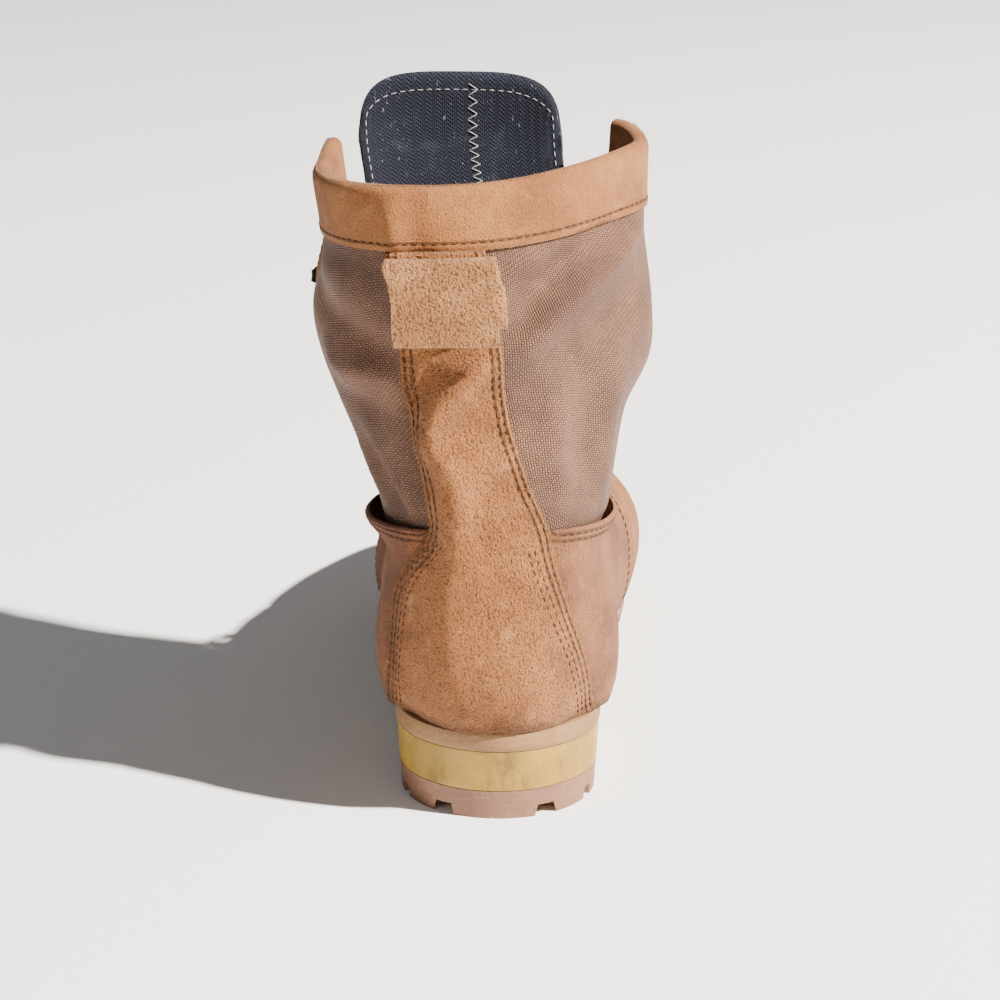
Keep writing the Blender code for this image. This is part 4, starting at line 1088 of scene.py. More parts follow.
def build_tongue(skin):
    ups, rows, normals = tongue_rows(skin)
    bend = np.exp(-(((ups - BEND_RING) / TONGUE_BEND_SPREAD) ** 2))[..., None]
    outer = rows - normals * (WALL + TONGUE_SET_BACK + TONGUE_BEND_GAP * bend)
    inner = outer - normals * TONGUE_THICKNESS
    edges = np.concatenate([outer[:, 0], outer[:, -1], outer[-1]])
    gap = distances(outer, edges)
    thin = 0.5 * TONGUE_THICKNESS * (1 - rounded(gap, TONGUE_ROUND))[..., None]
    sheet = Sheet(inner + normals * thin, outer - normals * thin)
    obj = sheet.build("tongue_pad", ("lining",), sharp=80)
    sheet.add_cloth(obj, rows)
    dressed(obj, "lining", "tongue")

    # Hem stitches and the zigzag of a middle seam, on the face towards the leg
    def hem(grid):
        sides = grid[TONGUE_HEM_ROWS, TONGUE_HEM], grid[TONGUE_HEM_ROWS, -TONGUE_HEM - 1][::-1]
        return np.concatenate([sides[0], grid[-4, TONGUE_HEM:-TONGUE_HEM], sides[1]])

    face, facing = sheet.inner, -normals
    segments = stitch_row(hem(face), hem(facing))
    off = facing[:, TONGUE_SPINE]
    zigzag = [face[i, TONGUE_SPINE + i % 2 * 2] + off[i] * 0.2 * MM for i in TONGUE_SPINE_ROWS]
    segments += list(zip(zigzag[:-1], zigzag[1:], off[TONGUE_SPINE_ROWS]))
    dressed(capsules("tongue_stitches", segments, TONGUE_THREAD, "grey_thread"), "lining")


# Pull loop: how far its flap leans and its sides fray, its grid, the rows at its fold and its nap

LOOP_SKEW = 2.4 * MM
LOOP_RAG = 1.1 * MM
LOOP_ROWS = 96
LOOP_COLUMNS = 57
LOOP_FOLD_ROW = 52
LOOP_FOLD_SPREAD = 9
LOOP_FOLD = slice(44, 60)
LOOP_NAP = 0.22 * MM
LOOP_FIBRES = 420
LOOP_FIBRE = 1.7 * MM
LOOP_FIBRE_RADIUS = 0.06 * MM
# Points of (share of the drop, lift off the back strip) down the inner leaf and up the flap
LOOP_PATH = (
    (0.00, 0.0), (0.50, 0.0), (0.88, 0.0005), (0.97, 0.0012), (1.02, 0.0035), (1.00, 0.0062),
    (0.90, 0.0075), (0.50, 0.0085), (0.05, 0.0095), (-0.15, 0.0094),
)


def build_loop(skin):
    base = FIT + BACKSTAY_LEATHER + LOOP_GAP
    places = np.linspace(-LOOP_WIDTH / 2, LOOP_WIDTH / 2, LOOP_COLUMNS)
    path = curve_through(LOOP_PATH, LOOP_ROWS)
    rows = []
    for share, lift in path:
        ups = np.full(len(places), CUFF_RING - LOOP_HANG - (1 - share) * LOOP_DROP / (UPPER_HEIGHT * 0.1))
        skewed = places + LOOP_SKEW * (1 - lift / path[-1, 1])
        points, normals, _, _ = skin.frames(skewed, ups, raised=False)
        points = points + normals * base
        across = unit(points[-1] - points[0])
        outward = np.array([across[1], -across[0], 0.0])
        flat = points[len(places) // 2] + places[:, None] * across
        loose = min(1.0, lift / LOOP_FLAT_LIFT)
        rows.append(points + (flat - points) * loose + outward * lift)
    under = np.array(rows)
    reach = (places / (LOOP_WIDTH / 2))[None, :, None]
    ragged = waver(under, 5 * MM, 21)[..., None] * np.abs(reach) ** 5 * np.sign(reach)
    under = under + LOOP_RAG * ragged * unit(np.gradient(under, axis=1))
    normals = unit(np.cross(np.gradient(under, axis=1), np.gradient(under, axis=0)))
    gap = distances(under, border_points(under))
    nap = LOOP_NAP * (waver(under, NAP_FINE, 11) + 0.7 * waver(under, NAP_COARSE, 12))
    fold_gap = (np.arange(LOOP_ROWS) - LOOP_FOLD_ROW) / LOOP_FOLD_SPREAD
    fold = 1 + 3.6 * np.exp(-(fold_gap**2))[:, None]
    body = LOOP_LEATHER * (0.6 + 0.4 * rounded(gap, 1.0 * MM)) + nap * fold
    sheet = Sheet(under, under + normals * body[..., None])
    obj = sheet.build("loop_leather", ("loop_suede",))
    sheet.add_distances(obj, gap)
    dressed(obj, "suede", "pull_loop")

    # Frayed edges
    random = np.random.default_rng(5)
    segments = []
    top = under + normals * (LOOP_LEATHER * 0.5)
    fold_off = normals[LOOP_FOLD]
    for line, outward, off in (
        (top[:, 0], top[:, 0] - top[:, 1], normals[:, 0]),
        (top[:, -1], top[:, -1] - top[:, -2], normals[:, -1]),
        [grid.reshape(-1, 3) for grid in (top[LOOP_FOLD], fold_off, np.roll(fold_off, 1, axis=2))],
        (top[-1], top[-1] - top[-2], normals[-1]),
    ):
        segments += fringe(random, line, unit(outward), off, LOOP_FIBRES, LOOP_FIBRE)
    dressed(capsules("loop_fibres", segments, LOOP_FIBRE_RADIUS, "nap_fibre", FIBRE, 3), "suede")


# Sole


def outline_loop(height, inset, stations):
    """Points round the sole at one level: lateral side to the toe and back along the medial side."""
    share = (1 - np.cos(np.linspace(0.02, math.pi - 0.02, stations))) / 2
    y = -HEEL_REAR + inset + share * (SOLE_LENGTH - 2 * inset)
    sides = [np.stack([sole_edge(side, y, inset), y, height(y)], axis=1) for side in (LATERAL, MEDIAL)]
    return np.concatenate([sides[0], sides[1][::-1]])


def sole_loft(name, paint, levels, stations=120, rungs=8):
    """A layer of the sole from level outlines, closed below and above by a grid of rungs."""
    loops = [outline_loop(height, inset, stations) for height, inset in levels]
    count = 2 * stations
    points = [np.concatenate(loops)]
    faces = hoops(len(loops), count, flip=True)
    total = len(loops) * count
    for level, height, flip in ((0, levels[0][0], True), (len(loops) - 1, levels[-1][0], False)):
        loop = loops[level]
        inner = []
        for i in range(stations):
            start, end = loop[i], loop[count - 1 - i]
            share = np.linspace(0, 1, rungs + 1)[1:-1, None]
            row = start + (end - start) * share
            row[:, 2] = height(row[:, 1])
            inner.append(row)
        first = total
        points.append(np.concatenate(inner))
        total += stations * (rungs - 1)

        def at(i, j):
            if j == 0:
                return level * count + i
            if j == rungs:
                return level * count + count - 1 - i
            return first + i * (rungs - 1) + j - 1

        for i in range(stations - 1):
            for j in range(rungs):
                quad = (at(i, j), at(i, j + 1), at(i + 1, j + 1), at(i + 1, j))
                faces.append(quad[::-1] if flip else quad)
    return add_mesh(name, np.concatenate(points), faces, (paint,), sharp=40)


def groove_points(x, y, length, width, turn, depth):
    """Corners of a cutter with sloped sides, its length along its own x, open downwards."""
    corners = []
    for z, w in ((-0.004, width), (float(ground(y)) + depth, width * 0.6)):
        for u, v in ((-1, -1), (1, -1), (1, 1), (-1, 1)):
            a, b = u * length / 2, v * w / 2
            corners.append((
                x + a * math.cos(turn) - b * math.sin(turn),
                y + a * math.sin(turn) + b * math.cos(turn),
                z,
            ))
    return corners


def tread_cutter():
    shape = bmesh.new()

    def groove(*sizes):
        v = [shape.verts.new(c) for c in groove_points(*sizes)]
        for face in ((0, 3, 2, 1), (4, 5, 6, 7), (0, 1, 5, 4), (1, 2, 6, 5), (2, 3, 7, 6), (3, 0, 4, 7)):
            shape.faces.new([v[k] for k in face])

    for side, _ in SIDES:
        groove(side * HEEL_NOTCH_PLACE, -HEEL_REAR, 0.030, HEEL_NOTCH_WIDTH, math.pi / 2, LUG_DEPTH)
        for place in (-0.35, 0.42):
            x, y = side * (HEEL_WIDTH / 2 - 0.006), place * HEEL_WIDTH / 2
            groove(x, y, GROOVE_REACH, GROOVE_WIDTH, 0, LUG_DEPTH)
        y = ARCH_END + GROOVE_PITCH * 0.9
        while y < FORE_LENGTH - GROOVE_PITCH:
            edge = float(sole_edge(side, y, 0))
            groove(edge - side * 0.004, y, GROOVE_REACH * 1.3, GROOVE_WIDTH, side * 0.12, LUG_DEPTH)
            y += GROOVE_PITCH
    y = ARCH_END + GROOVE_PITCH * 1.4
    while y < SPRING_START + GROOVE_PITCH:
        groove(float(swing(y)), y, CHANNEL_PLACE * 1.2, GROOVE_WIDTH * 0.8, 0, LUG_DEPTH)
        y += GROOVE_PITCH
    mesh = bpy.data.meshes.new("tread_cutter")
    shape.to_mesh(mesh)
    shape.free()
    return placed("tread_cutter", mesh)


def apply_modifiers(obj):
    """The object keeps the mesh that its modifiers give."""
    made = bpy.data.meshes.new_from_object(obj.evaluated_get(bpy.context.evaluated_depsgraph_get()))
    obj.modifiers.clear()
    obj.data = made


# Levels of each layer: share of the way up it, and inset from the sole's edge
OUTSOLE_LEVELS = [(s, TREAD_TAPER + (OUTSOLE_TAPER - TREAD_TAPER) * s) for s in (0, 0.15, 0.5, 0.85, 1)]
WEDGE_LEVELS = (
    (0.0, 1.45 * MM), (0.1, 1.3 * MM), (0.3, 1.1 * MM), (0.6, 0.9 * MM), (0.86, 0.7 * MM), (1.0, 0.55 * MM),
)
RAND_LEVELS = (
    (0.0, 0.5 * MM), (0.12, 0.2 * MM), (0.3, 0.05 * MM), (0.6, 0.15 * MM), (0.86, 0.3 * MM),
    (0.97, 0.6 * MM), (1.0, 1.1 * MM),
)


def sole_levels(low, high, gap, levels):
    """Heights between two surfaces, the upper one lowered by a gap, with their insets."""
    def height(share):
        return lambda y: low(y) + (high(y) - gap - low(y)) * share

    return [(height(share), inset) for share, inset in levels]


def build_sole():
    levels = sole_levels(ground, outsole_top, FIT, OUTSOLE_LEVELS)
    outsole = sole_loft("outsole_rubber", "outsole_rubber", levels)
    cutter = tread_cutter()
    cut = outsole.modifiers.new("tread", "BOOLEAN")
    cut.operation = "DIFFERENCE"
    cut.solver = "EXACT"
    cut.object = cutter
    apply_modifiers(outsole)
    bpy.data.objects.remove(cutter)
    soften = outsole.modifiers.new("edges", "BEVEL")
    soften.width = 0.5 * MM
    soften.segments = 2
    soften.limit_method = "ANGLE"
    soften.angle_limit = math.radians(35)
    apply_modifiers(outsole)
    dressed(outsole, "tan_rubber", "outsole")

    wedge = sole_loft("wedge_foam", "foam", sole_levels(outsole_top, wedge_top, FIT, WEDGE_LEVELS))
    dressed(wedge, "yellow_foam", "midsole_wedge")
    rand = sole_loft("rand_rubber", "rand_rubber", sole_levels(wedge_top, sole_top, 0.0, RAND_LEVELS))
    dressed(rand, "tan_rubber", "midsole_rand")


# Hardware and lace

EYELET_RUN = EYELET_FIRST + EYELET_SPACING * np.arange(EYELET_PAIRS)
EYELET_DROP = 0.5 * MM
HOOK_DROP = 2.9 * MM
HOOK_METAL = 1.0 * MM
HOOK_DISH = 0.25 * MM
HOOK_STEPS = 40
RIVET_PLACE = 2.6 * MM
LACE_RADIUS = 1.5 * MM
LACE_OVER = FIT + QUARTER_LEATHER + 3.0 * MM
LACE_UNDER = WALL + 1.2 * MM
LACE_BEHIND = WALL + 1.6 * MM
LACE_LIFT = np.array([0.0, 0.35, 0.94]) * MM


def throat_ups(skin, side, lengths):
    """Ring numbers at these distances up the throat's edge from its base."""
    ups = np.linspace(THROAT_RING, COLLAR_RING, 57)
    edge = skin.points(skin.places(side * THROAT, ups), ups, raised=False)
    return np.interp(lengths, lengths_along(edge), ups)


def hardware_spots(skin):
    """Each eyelet's and hook's centre, outward normal, upward and throatward directions."""
    spots = {}
    for side, tag in SIDES:
        hook_run = EYELET_RUN[-1] + HOOK_GAP + HOOK_SPACING * np.arange(HOOK_PAIRS)
        ups = throat_ups(skin, side, np.concatenate([EYELET_RUN, hook_run]))
        places = skin.places(side * THROAT, ups, EYELET_SET_BACK)
        points, normals, around, rise = skin.frames(places, ups, raised=False)
        for k in range(len(ups)):
            kind = "eyelet" if k < EYELET_PAIRS else "hook"
            name = f"{kind}_{tag}_{k % EYELET_PAIRS + 1}"
            low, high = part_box(name)
            spots[name] = (points[k], normals[k], rise[k], side * around[k], np.array((low + high) / 2))
    return spots


def turned(name, centre, axis, side, profile, turns=28):
    """A metal ring or dome turned round an axis from (radius, height) pairs in millimetres."""
    other = np.cross(axis, side)
    angles = np.linspace(0, 2 * math.pi, turns, endpoint=False)
    points = [
        centre + radius * MM * (math.cos(a) * side + math.sin(a) * other) + height * MM * axis
        for radius, height in profile for a in angles
    ]
    return add_mesh(name, points, hoops(len(profile), turns, closed=True), ("metal",), sharp=60)


# Turned profiles, (radius, height) in millimetres, and a hook's bend, (way to the throat, height)
EYELET_PROFILE = (
    (2.35, -1.6), (2.35, 0.5), (2.5, 0.95), (2.9, 1.25), (3.4, 1.25), (3.9, 0.95), (4.15, 0.5),
    (4.2, 0.0), (3.9, -0.1), (2.8, -0.1), (2.75, -1.6),
)
RIVET_PROFILE = ((0.1, 1.7), (0.9, 1.6), (1.6, 1.25), (1.9, 0.9), (1.9, 0.6), (0.1, 0.6))
HOOK_PROFILE = (
    (-5.6, 0.0), (-3.0, 0.0), (0.0, 0.0), (2.6, 0.0), (3.9, 0.3), (4.5, 1.3), (4.5, 2.9), (4.0, 4.1),
    (2.9, 4.7), (1.0, 4.6), (-1.2, 4.2), (-2.6, 4.3), (-3.3, 4.9),
)
# A hook's half width in millimetres, by the number of the profile's point
HOOK_HALVES = ((0, 2.4), (1.2, 3.7), (3, 3.7), (6, 3.2), (10, 3.2), (12, 2.0))


def build_hardware(skin):
    spots = hardware_spots(skin)
    for name, (_, normal, rise, toward, centre) in spots.items():
        if name.startswith("eyelet"):
            ring = turned(name + "_ring", centre - normal * EYELET_DROP, normal, rise, EYELET_PROFILE)
            dressed(ring, "dark_metal", name)
        else:
            build_hook(name, normal, rise, toward, centre)
    return spots


def build_hook(name, normal, rise, toward, centre):
    """Bent strip: a foot that is riveted down, a bend on the throat's side and a lip over it."""
    path = curve_through(np.array(HOOK_PROFILE) * MM, HOOK_STEPS)
    along = unit(np.gradient(path, axis=0))
    keys = np.linspace(0, len(HOOK_PROFILE) - 1, HOOK_STEPS)
    halves = np.interp(keys, *np.array(HOOK_HALVES).T) * MM
    low = centre - normal * HOOK_DROP
    across = np.linspace(-1, 1, 9)[:, None]

    def layer(lift):
        rows = []
        for (a, b), (da, db), half in zip(path, along, halves):
            up = b + da * lift + HOOK_DISH * across**2
            rows.append(low + (a - db * lift) * toward + up * normal + across * half * rise)
        return np.array(rows)

    grids = layer(0.0), layer(HOOK_METAL)
    if np.dot(np.cross(rise, toward), normal) < 0:
        grids = [grid[:, ::-1] for grid in grids]
    obj = Sheet(*grids).build(name + "_bent", ("metal",), sharp=55)
    dome = turned(name + "_rivet", low - toward * RIVET_PLACE, normal, rise, RIVET_PROFILE, turns=16)
    dome.parent = obj
    dressed(obj, "dark_metal", name)
    dressed(dome, "dark_metal")


def tube(name, route, radius, paint, sides=10, per_step=6):
    """A round cord along a smooth route, closed at both ends."""
    line = curve_through(route, (len(route) - 1) * per_step + 1)
    along = unit(np.gradient(line, axis=0))
    side = np.cross(along[0], (0.0, 0.0, 1.0) if abs(along[0][2]) < 0.9 else (1.0, 0.0, 0.0))
    angles = np.linspace(0, 2 * math.pi, sides, endpoint=False)[:, None]
    rings = []
    for centre, step in zip(line, along):
        side = unit(side - step * (side @ step))
        other = np.cross(step, side)
        rings.append(centre + radius * (np.cos(angles) * side + np.sin(angles) * other))
    points = np.concatenate(rings)
    faces = hoops(len(rings), sides)
    faces.append(tuple(range(sides))[::-1])
    faces.append(tuple(range(len(points) - sides, len(points))))
    obj = add_mesh(name, points, faces, (paint,), sharp=80)
    add_cloth_map(obj, np.tile(np.arange(sides) / sides, len(rings)), np.repeat(lengths_along(line), sides))
    return obj


def build_lace(skin, spots):
    """Each half starts at the bar, dives through an eyelet, comes out under the edge and crosses."""
    edges = {}
    for side, _ in SIDES:
        ups = throat_ups(skin, side, EYELET_RUN)
        points, normals, _, _ = skin.frames(skin.places(side * THROAT, ups), ups)
        edges[side] = (points, normals)
    tags = dict(SIDES)
    bar = {side: edges[side][0][0] + edges[side][1][0] * LACE_OVER for side in (LATERAL, MEDIAL)}
    middle = (bar[LATERAL] + bar[MEDIAL]) / 2
    for first in (MEDIAL, LATERAL):
        route = [middle + LACE_LIFT, bar[first] * 0.75 + middle * 0.25 + LACE_LIFT]
        side = first
        for k in range(EYELET_PAIRS):
            point, normal, _, toward, centre = spots[f"eyelet_{tags[side]}_{k + 1}"]
            edge, out = edges[side][0][k], edges[side][1][k]
            route += [edge + out * LACE_OVER, centre + normal * 2.6 * MM + toward * 1.5 * MM, centre]
            route.append(point - normal * LACE_BEHIND)
            if k == EYELET_PAIRS - 1:
                route.append(point - normal * (LACE_BEHIND + 0.1 * MM) - toward * 4 * MM)
                break
            route.append(edge - out * LACE_UNDER)
            crossing = (edge + edges[-side][0][k + 1]) / 2
            way = 1 if first == MEDIAL else -1
            route.append(crossing + LACE_LIFT * (1.3 if side == first else -0.6) * way)
            side = -side
        obj = tube("lace_" + tags[first], route, LACE_RADIUS, "cord")
        dressed(obj, "cord", *(("lace",) if first == MEDIAL else ()))


def build_insole(skin):
    """Footbed with a rolled edge, a cupped heel and a felt face."""
    strips = np.linspace(0, FRONT, FRONT * 6 + 1)[1:-1]
    edges = []
    for side in (LATERAL, MEDIAL):
        points, normals = form(skin, [], side * strips, np.array([0, 0.5, 1.0]))
        edges.append(points[0] - side * normals[0] * (WALL + INSOLE_GAP))
    share = np.sin(np.linspace(-math.pi / 2, math.pi / 2, 33)) / 2 + 0.5
    base = edges[0][:, None] + (edges[1] - edges[0])[:, None] * share[None, :, None]
    base[..., 2] = sole_top(base[..., 1]) + FIT
    gap = distances(base, border_points(base))
    cup = 1.6 * MM * (1 - ease(0.0, 12 * MM, gap)) * (1 - ease(0.03, 0.08, base[..., 1]))
    top = base.copy()
    top[..., 2] += (INSOLE_THICKNESS - 1.2 * MM) * (0.35 + 0.65 * rounded(gap, 2.0 * MM)) + cup
    sheet = Sheet(base, top)
    obj = sheet.build("insole_pad", ("felt",), sharp=80)
    sheet.add_distances(obj, gap)
    dressed(obj, "lining", "insole")


# Stage

FLOOR_REACH = 20.0
SKY_STRENGTH = 0.19
LIT_SPOT = (0.0, 0.05, 0.12)
# Name, place, size, watts and colour
LIGHTS = (
    ("key", (3.55, -1.15, 3.5), 0.16, 1500, (1.0, 0.94, 0.86)),
    ("fill", (-2.6, -2.4, 1.8), 2.5, 14, (0.95, 0.97, 1.0)),
)
LENS = 94.68
SENSOR = 36.0
CAMERA_PLACE = (0.038, -0.928, 0.410)
CAMERA_TURN = (math.radians(90 - 17.75), 0, math.radians(2.3))


def build_stage():
    mesh = bpy.data.meshes.new("floor")
    square = [(x * FLOOR_REACH, y * FLOOR_REACH, 0) for x, y in ((-1, -1), (1, -1), (1, 1), (-1, 1))]
    mesh.from_pydata(square, [], [(0, 1, 2, 3)])
    mesh.materials.append(PAINTS["floor"])
    placed("floor", mesh)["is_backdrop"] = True

    world = bpy.data.worlds.new("studio")
    world.use_nodes = True
    sky = world.node_tree.nodes["Background"].inputs
    sky["Color"].default_value = (1.0, 1.0, 1.0, 1.0)
    sky["Strength"].default_value = SKY_STRENGTH
    bpy.context.scene.world = world

    for name, place, size, power, colour in LIGHTS:
        light = bpy.data.lights.new(name, "AREA")
        light.size = size
        light.energy = power
        light.color = colour
        lamp = placed(name, light)
        lamp.location = place
        lamp.rotation_euler = (Vector(LIT_SPOT) - Vector(place)).to_track_quat("-Z", "Y").to_euler()

    lens = bpy.data.cameras.new("camera")
    lens.lens = LENS
    lens.sensor_width = SENSOR
    camera = placed("camera", lens)
    camera.location = CAMERA_PLACE
    camera.rotation_euler = CAMERA_TURN
    bpy.context.scene.camera = camera


# Materials

PAINTS = {}
YARN = 0.92 * MM


class Paint:
    """A material built by short calls, each of which adds a node and gives its output."""

    def __init__(self, name, colour, roughness, sheen=0.0, metallic=0.0, specular=0.3):
        made = bpy.data.materials.new(name)
        made.use_nodes = True
        self.tree = made.node_tree
        self.shader = self.tree.nodes["Principled BSDF"]
        for socket, value in (
            ("Roughness", roughness), ("Metallic", metallic), ("Specular IOR Level", specular),
            ("Sheen Weight", sheen), ("Sheen Roughness", 0.6),
        ):
            self.shader.inputs[socket].default_value = value
        self.colour = colour
        self.spot = self.node("TexCoord", {}, "Object")
        PAINTS[name] = made

    def node(self, kind, inputs, output=0, **settings):
        made = self.tree.nodes.new("ShaderNode" + kind)
        for name, value in settings.items():
            setattr(made, name, value)
        for socket, value in inputs.items():
            if isinstance(value, bpy.types.NodeSocket):
                self.tree.links.new(value, made.inputs[socket])
            else:
                made.inputs[socket].default_value = value
        return made.outputs[output]

    def sums(self, operation, *values):
        return self.node("Math", dict(enumerate(values)), operation=operation)

    def noise(self, size, detail=2.0, stretch=None):
        """Cloudy noise from 0 to 1 with features of about this size."""
        at = self.spot
        if stretch:
            at = self.node("VectorMath", {0: at, 1: stretch}, operation="MULTIPLY")
        return self.node("TexNoise", {"Vector": at, "Scale": 1 / size, "Detail": detail, "Roughness": 0.6})

    def grains(self, size):
        """Distance to the nearest of many scattered points, 0 to about 1."""
        return self.node("TexVoronoi", {"Vector": self.spot, "Scale": 1 / size}, "Distance")

    def step(self, value, low, high, start=0.0, end=1.0):
        return self.node(
            "MapRange",
            {"Value": value, "From Min": low, "From Max": high, "To Min": start, "To Max": end},
            interpolation_type="SMOOTHSTEP",
        )

    def cover(self, share, colour):
        """Puts a share of another colour over the paint's own."""
        first, second = ((*c, 1.0) if isinstance(c, tuple) else c for c in (self.colour, colour))
        self.colour = self.node("Mix", {0: share, 6: first, 7: second}, 2, data_type="RGBA")

    def patch(self, colour, value, *levels):
        """Another colour where the value rises, in levels as step takes them."""
        self.cover(self.step(value, *levels), colour)

    def tone(self, value, *levels):
        """The paint's colour times a number that follows the value, in levels as step takes them."""
        amount = self.step(value, *levels)
        tint = self.node("CombineColor", {0: amount, 1: amount, 2: amount})
        mixed = {0: 1.0, 6: self.colour, 7: tint}
        self.colour = self.node("Mix", mixed, 2, data_type="RGBA", blend_type="MULTIPLY")

    def wave(self, value, length):
        """A sine of the value with this full wave length."""
        return self.sums("SINE", self.sums("MULTIPLY", value, 2 * math.pi / length))

    def centred(self, value, reach):
        """A value round a half, moved to round nought and stretched to this reach."""
        return self.sums("MULTIPLY", self.sums("SUBTRACT", value, 0.5), reach)

    def value(self, name):
        return self.node("Attribute", {}, "Fac", attribute_name=name)

    def cloth(self):
        """Metres across and along the cloth."""
        split = self.node("SeparateXYZ", {0: self.node("UVMap", {}, uv_map="cloth")}, 0).node
        return split.outputs[0], split.outputs[1]

    def bump(self, height, depth):
        """Adds relief to the surface: height 0 to 1 over a depth in metres."""
        links = self.shader.inputs["Normal"].links
        inputs = {"Height": height, "Distance": depth, "Strength": 1.0}
        if links:
            inputs["Normal"] = links[0].from_socket
        self.tree.links.new(self.node("Bump", inputs), self.shader.inputs["Normal"])

    def finish(self, roughness=None):
        self.tree.links.new(self.colour, self.shader.inputs["Base Color"])
        if roughness is not None:
            self.tree.links.new(roughness, self.shader.inputs["Roughness"])


def grooves(paint, rows=PAIR):
    """1 in the furrows that the stitches pull in beside a sewn edge."""
    seam = paint.value("seam")
    total = None
    for row in rows:
        gap = paint.sums("ABSOLUTE", paint.sums("SUBTRACT", seam, row))
        near = paint.step(gap, 0.15 * MM, 0.95 * MM, 1.0, 0.0)
        total = near if total is None else paint.sums("MAXIMUM", total, near)
    return total


def suede_paint(name, body, shade, pale, grain, depth, fleck, rows=PAIR):
    """Brushed leather: coarse pitted nap with dark specks, worn patches and pale raw edges."""
    paint = Paint(name, body, 0.95, sheen=0.08, specular=0.10)
    crumbs = paint.noise(grain, 1.5)
    fine = paint.noise(grain * 0.45, 1.0)
    smudges = paint.noise(8 * MM, 4.0)
    groove = grooves(paint, rows)
    paint.patch(shade, paint.noise(26 * MM, 3.0), 0.36, 0.68)
    paint.patch(pale, smudges, 0.55, 0.75, 0.0, 0.35)
    paint.patch(shade, smudges, 0.25, 0.42, 0.4, 0.0)
    paint.tone(paint.step(crumbs, 0.32, 0.56, 1.0, 0.0), 0.25, 1.0, 1.05, 1.0 - fleck)
    paint.patch(pale, fine, 0.58, 0.74, 0.0, 0.35)
    paint.tone(fine, 0.26, 0.44, 0.72, 1.0)
    # Painted shade: the stitch furrows darkened to 0.6 of the colour.
    paint.tone(groove, 0.0, 1.0, 1.0, 0.60)
    rim = paint.step(paint.value("edge"), 0.1 * MM, 0.6 * MM, 0.25, 0.0)
    paint.cover(paint.sums("MULTIPLY", rim, paint.step(fine, 0.4, 0.62)), pale)
    # Darker towards the sole: half the colour at its foot and full colour from 6.5 mm up, with the top line
    # made ragged by the smudges.
    height_over_sole = paint.sums("ADD", paint.value("lift"), paint.centred(smudges, 9 * MM))
    paint.tone(height_over_sole, 0.2 * MM, 6.5 * MM, 0.50, 1.0)
    paint.finish()
    paint.bump(paint.sums("ADD", crumbs, paint.sums("MULTIPLY", fine, 0.5)), depth)
    paint.bump(paint.sums("SUBTRACT", paint.sums("MULTIPLY", smudges, 0.6), groove), 0.5 * MM)


def nylon_paint():
    """Heavy plain weave: plump pale yarns, dark gaps and patches of dust."""
    paint = Paint("nylon", (0.189, 0.089, 0.052), 0.66, sheen=0.04, specular=0.25)
    wobble = paint.centred(paint.noise(9 * MM, 2.0), 1.3 * MM)
    u, v = (paint.wave(paint.sums("ADD", way, wobble), 2 * YARN) for way in paint.cloth())
    crossing = paint.sums("MULTIPLY", u, v)
    plump = paint.sums("POWER", paint.sums("ABSOLUTE", crossing), 0.55)
    over = paint.step(crossing, -0.25, 0.25)
    dust = paint.noise(11 * MM, 4.0)
    paint.patch((0.122, 0.057, 0.034), paint.noise(34 * MM, 3.0), 0.35, 0.66)
    paint.patch((0.260, 0.147, 0.085), dust, 0.52, 0.78, 0.0, 0.3)
    paint.tone(over, 0.0, 1.0, 0.66, 1.30)
    paint.tone(plump, 0.12, 0.75, 0.36, 1.15)
    paint.tone(paint.noise(1.3 * MM, 2.0), 0.3, 0.7, 0.84, 1.12)
    paint.finish(paint.step(plump, 0.0, 1.0, 0.85, 0.55))
    paint.bump(paint.sums("MULTIPLY", plump, paint.step(over, 0.0, 1.0, 0.55, 1.0)), 0.55 * MM)
    paint.bump(dust, 0.5 * MM)


def lining_paint():
    """Dark knit with zigzag ribs and pale stray fibres."""
    paint = Paint("lining", (0.001, 0.001, 0.005), 0.8, sheen=0.06, specular=0.2)
    across, along = paint.cloth()
    rib = paint.wave(paint.sums("ADD", along, paint.sums("PINGPONG", across, 2.1 * MM)), 1.7 * MM)
    thread = paint.wave(across, 0.8 * MM)
    weave = paint.sums("MULTIPLY", paint.step(rib, -0.9, 0.7), paint.step(thread, -1.0, 0.2, 0.45, 1.0))
    paint.cover(weave, (0.008, 0.012, 0.032))
    paint.patch((0.050, 0.060, 0.100), paint.noise(13 * MM, 4.0), 0.50, 0.76, 0.0, 0.4)
    paint.patch((0.30, 0.33, 0.42), paint.noise(0.9 * MM, 2.0, (1.0, 1.0, 0.18)), 0.66, 0.76, 0.0, 0.5)
    paint.finish()
    paint.bump(weave, 0.5 * MM)


def rubber_paint(name, body, dust, scuff):
    """Moulded rubber with dust in its grain, rubbed patches and small nicks."""
    paint = Paint(name, body, 0.7, specular=0.35)
    grain = paint.noise(0.8 * MM, 2.0)
    rub = paint.noise(16 * MM, 5.0)
    streak = paint.noise(9 * MM, 4.0, (1.0, 1.0, 4.0))
    paint.patch(scuff, rub, 0.38, 0.66)
    paint.patch(dust, streak, 0.52, 0.76, 0.0, 0.55)
    paint.tone(paint.grains(1.9 * MM), 0.06, 0.17, 0.58, 1.0)
    paint.tone(grain, 0.3, 0.7, 0.86, 1.08)
    paint.finish(paint.step(rub, 0.3, 0.7, 0.6, 0.85))
    paint.bump(grain, 0.10 * MM)
    paint.bump(streak, 0.35 * MM)


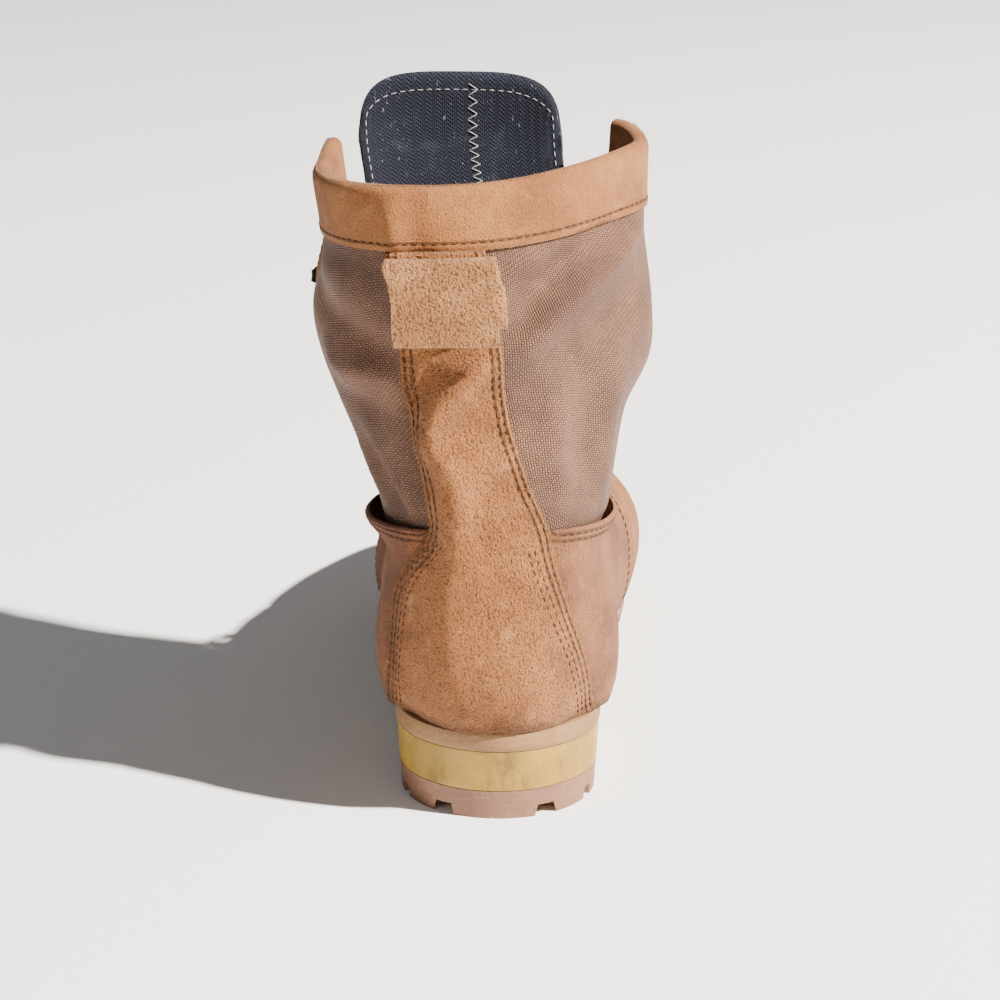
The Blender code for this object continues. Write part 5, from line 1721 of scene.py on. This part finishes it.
def foam_paint():
    """Cast sole foam: yellow with a fine pore and brown dirt in streaks."""
    paint = Paint("foam", (0.387, 0.232, 0.034), 0.6, specular=0.35)
    pore = paint.noise(0.7 * MM, 3.0)
    cloud = paint.noise(19 * MM, 4.0)
    streak = paint.noise(10 * MM, 5.0, (1.0, 1.0, 0.45))
    paint.patch((0.279, 0.163, 0.026), cloud, 0.36, 0.66)
    paint.patch((0.13, 0.078, 0.026), streak, 0.50, 0.74, 0.0, 0.85)
    paint.tone(pore, 0.32, 0.62, 0.88, 1.06)
    paint.tone(paint.grains(2.6 * MM), 0.05, 0.13, 0.55, 1.0)
    paint.finish(paint.step(streak, 0.3, 0.7, 0.5, 0.8))
    paint.bump(pore, 0.09 * MM)
    paint.bump(cloud, 0.5 * MM)


def metal_paint():
    """Dark painted metal, chipped on its rubbed spots."""
    paint = Paint("metal", (0.035, 0.036, 0.026), 0.42, metallic=0.35, specular=0.5)
    chips = paint.noise(2.4 * MM, 5.0)
    paint.patch((0.20, 0.17, 0.12), chips, 0.62, 0.70, 0.0, 0.8)
    paint.finish(paint.step(chips, 0.35, 0.75, 0.38, 0.7))
    paint.bump(chips, 0.06 * MM)


def cord_paint(name, light, dark, plait, depth):
    """Braid: slanting strands both ways round a cord."""
    paint = Paint(name, dark, 0.8, sheen=0.15, specular=0.2)
    turn, run = paint.cloth()
    pitch = paint.sums("DIVIDE", run, plait)
    slants = [paint.sums("ADD", paint.sums("MULTIPLY", turn, way), pitch) for way in (4.0, -4.0)]
    weave = paint.sums("MAXIMUM", *[paint.wave(slant, 1.0) for slant in slants])
    fuzz = paint.noise(0.5 * MM, 2.0)
    paint.patch(light, weave, -0.3, 0.8)
    paint.tone(fuzz, 0.3, 0.7, 0.8, 1.15)
    paint.finish()
    paint.bump(weave, depth)
    paint.bump(fuzz, 0.1 * MM)


def thread_paint(name, light, dark):
    """Sewing thread with a fine twist."""
    paint = Paint(name, dark, 0.85, specular=0.08)
    fuzz = paint.noise(0.45 * MM, 2.0)
    paint.patch(light, fuzz, 0.35, 0.65)
    paint.finish()
    paint.bump(fuzz, 0.12 * MM)


def floor_paint():
    paint = Paint("floor", (0.90, 0.90, 0.90), 0.9, specular=0.1)
    paint.cover(paint.noise(0.7, 2.0), (0.93, 0.93, 0.93))
    paint.finish()


# Leathers: name, body, shade, pale, grain and depth in millimetres, and how dark the specks are
LEATHERS = (
    ("suede", (0.304, 0.116, 0.037), (0.189, 0.066, 0.020), (0.493, 0.256, 0.108), 0.95, 1.5, 0.45),
    ("loop_suede", (0.352, 0.158, 0.060), (0.238, 0.096, 0.034), (0.546, 0.320, 0.151), 1.05, 1.9, 0.5),
    ("nubuck", (0.216, 0.083, 0.033), (0.119, 0.041, 0.017), (0.370, 0.176, 0.086), 0.75, 0.9, 0.3),
    ("cuff_suede", (0.277, 0.108, 0.032), (0.189, 0.066, 0.019), (0.440, 0.216, 0.086), 0.7, 0.8, 0.3),
    ("felt", (0.13, 0.10, 0.075), (0.085, 0.065, 0.05), (0.26, 0.22, 0.17), 0.9, 0.6, 0.3),
)


def make_paints():
    for name, body, shade, pale, grain, depth, fleck in LEATHERS:
        rows = (CUFF_ROW,) if name == "cuff_suede" else PAIR
        suede_paint(name, body, shade, pale, grain * MM, depth * MM, fleck, rows)
    nylon_paint()
    lining_paint()
    rubber_paint("outsole_rubber", (0.198, 0.098, 0.059), (0.284, 0.176, 0.106), (0.241, 0.124, 0.078))
    rubber_paint("rand_rubber", (0.232, 0.120, 0.049), (0.310, 0.196, 0.096), (0.275, 0.148, 0.065))
    foam_paint()
    metal_paint()
    cord_paint("cord", (0.47, 0.33, 0.21), (0.20, 0.125, 0.075), 2.4 * MM, 0.35 * MM)
    thread_paint("dark_thread", (0.076, 0.034, 0.015), (0.026, 0.011, 0.006))
    thread_paint("grey_thread", (0.42, 0.40, 0.38), (0.22, 0.22, 0.23))
    thread_paint("nap_fibre", (0.36, 0.20, 0.10), (0.24, 0.12, 0.055))
    floor_paint()


def corners(box):
    return [list(map(float, corner)) for corner in box]


def main():
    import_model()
    cad_box = corners(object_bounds())
    make_paints()
    skin = Skin()
    routes = fold_routes(skin)
    build_sole()
    build_body(skin, routes)
    build_vamp(skin, routes)
    build_quarters(skin, routes)
    build_backstay(skin, routes)
    build_cuff(skin, routes)
    build_stitches(skin, routes)
    build_fibres(skin, routes)
    build_tongue(skin)
    build_loop(skin)
    build_insole(skin)
    spots = build_hardware(skin)
    build_lace(skin, spots)
    build_stage()
    {"cad": cad_box, "visual": corners(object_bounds())}


main()
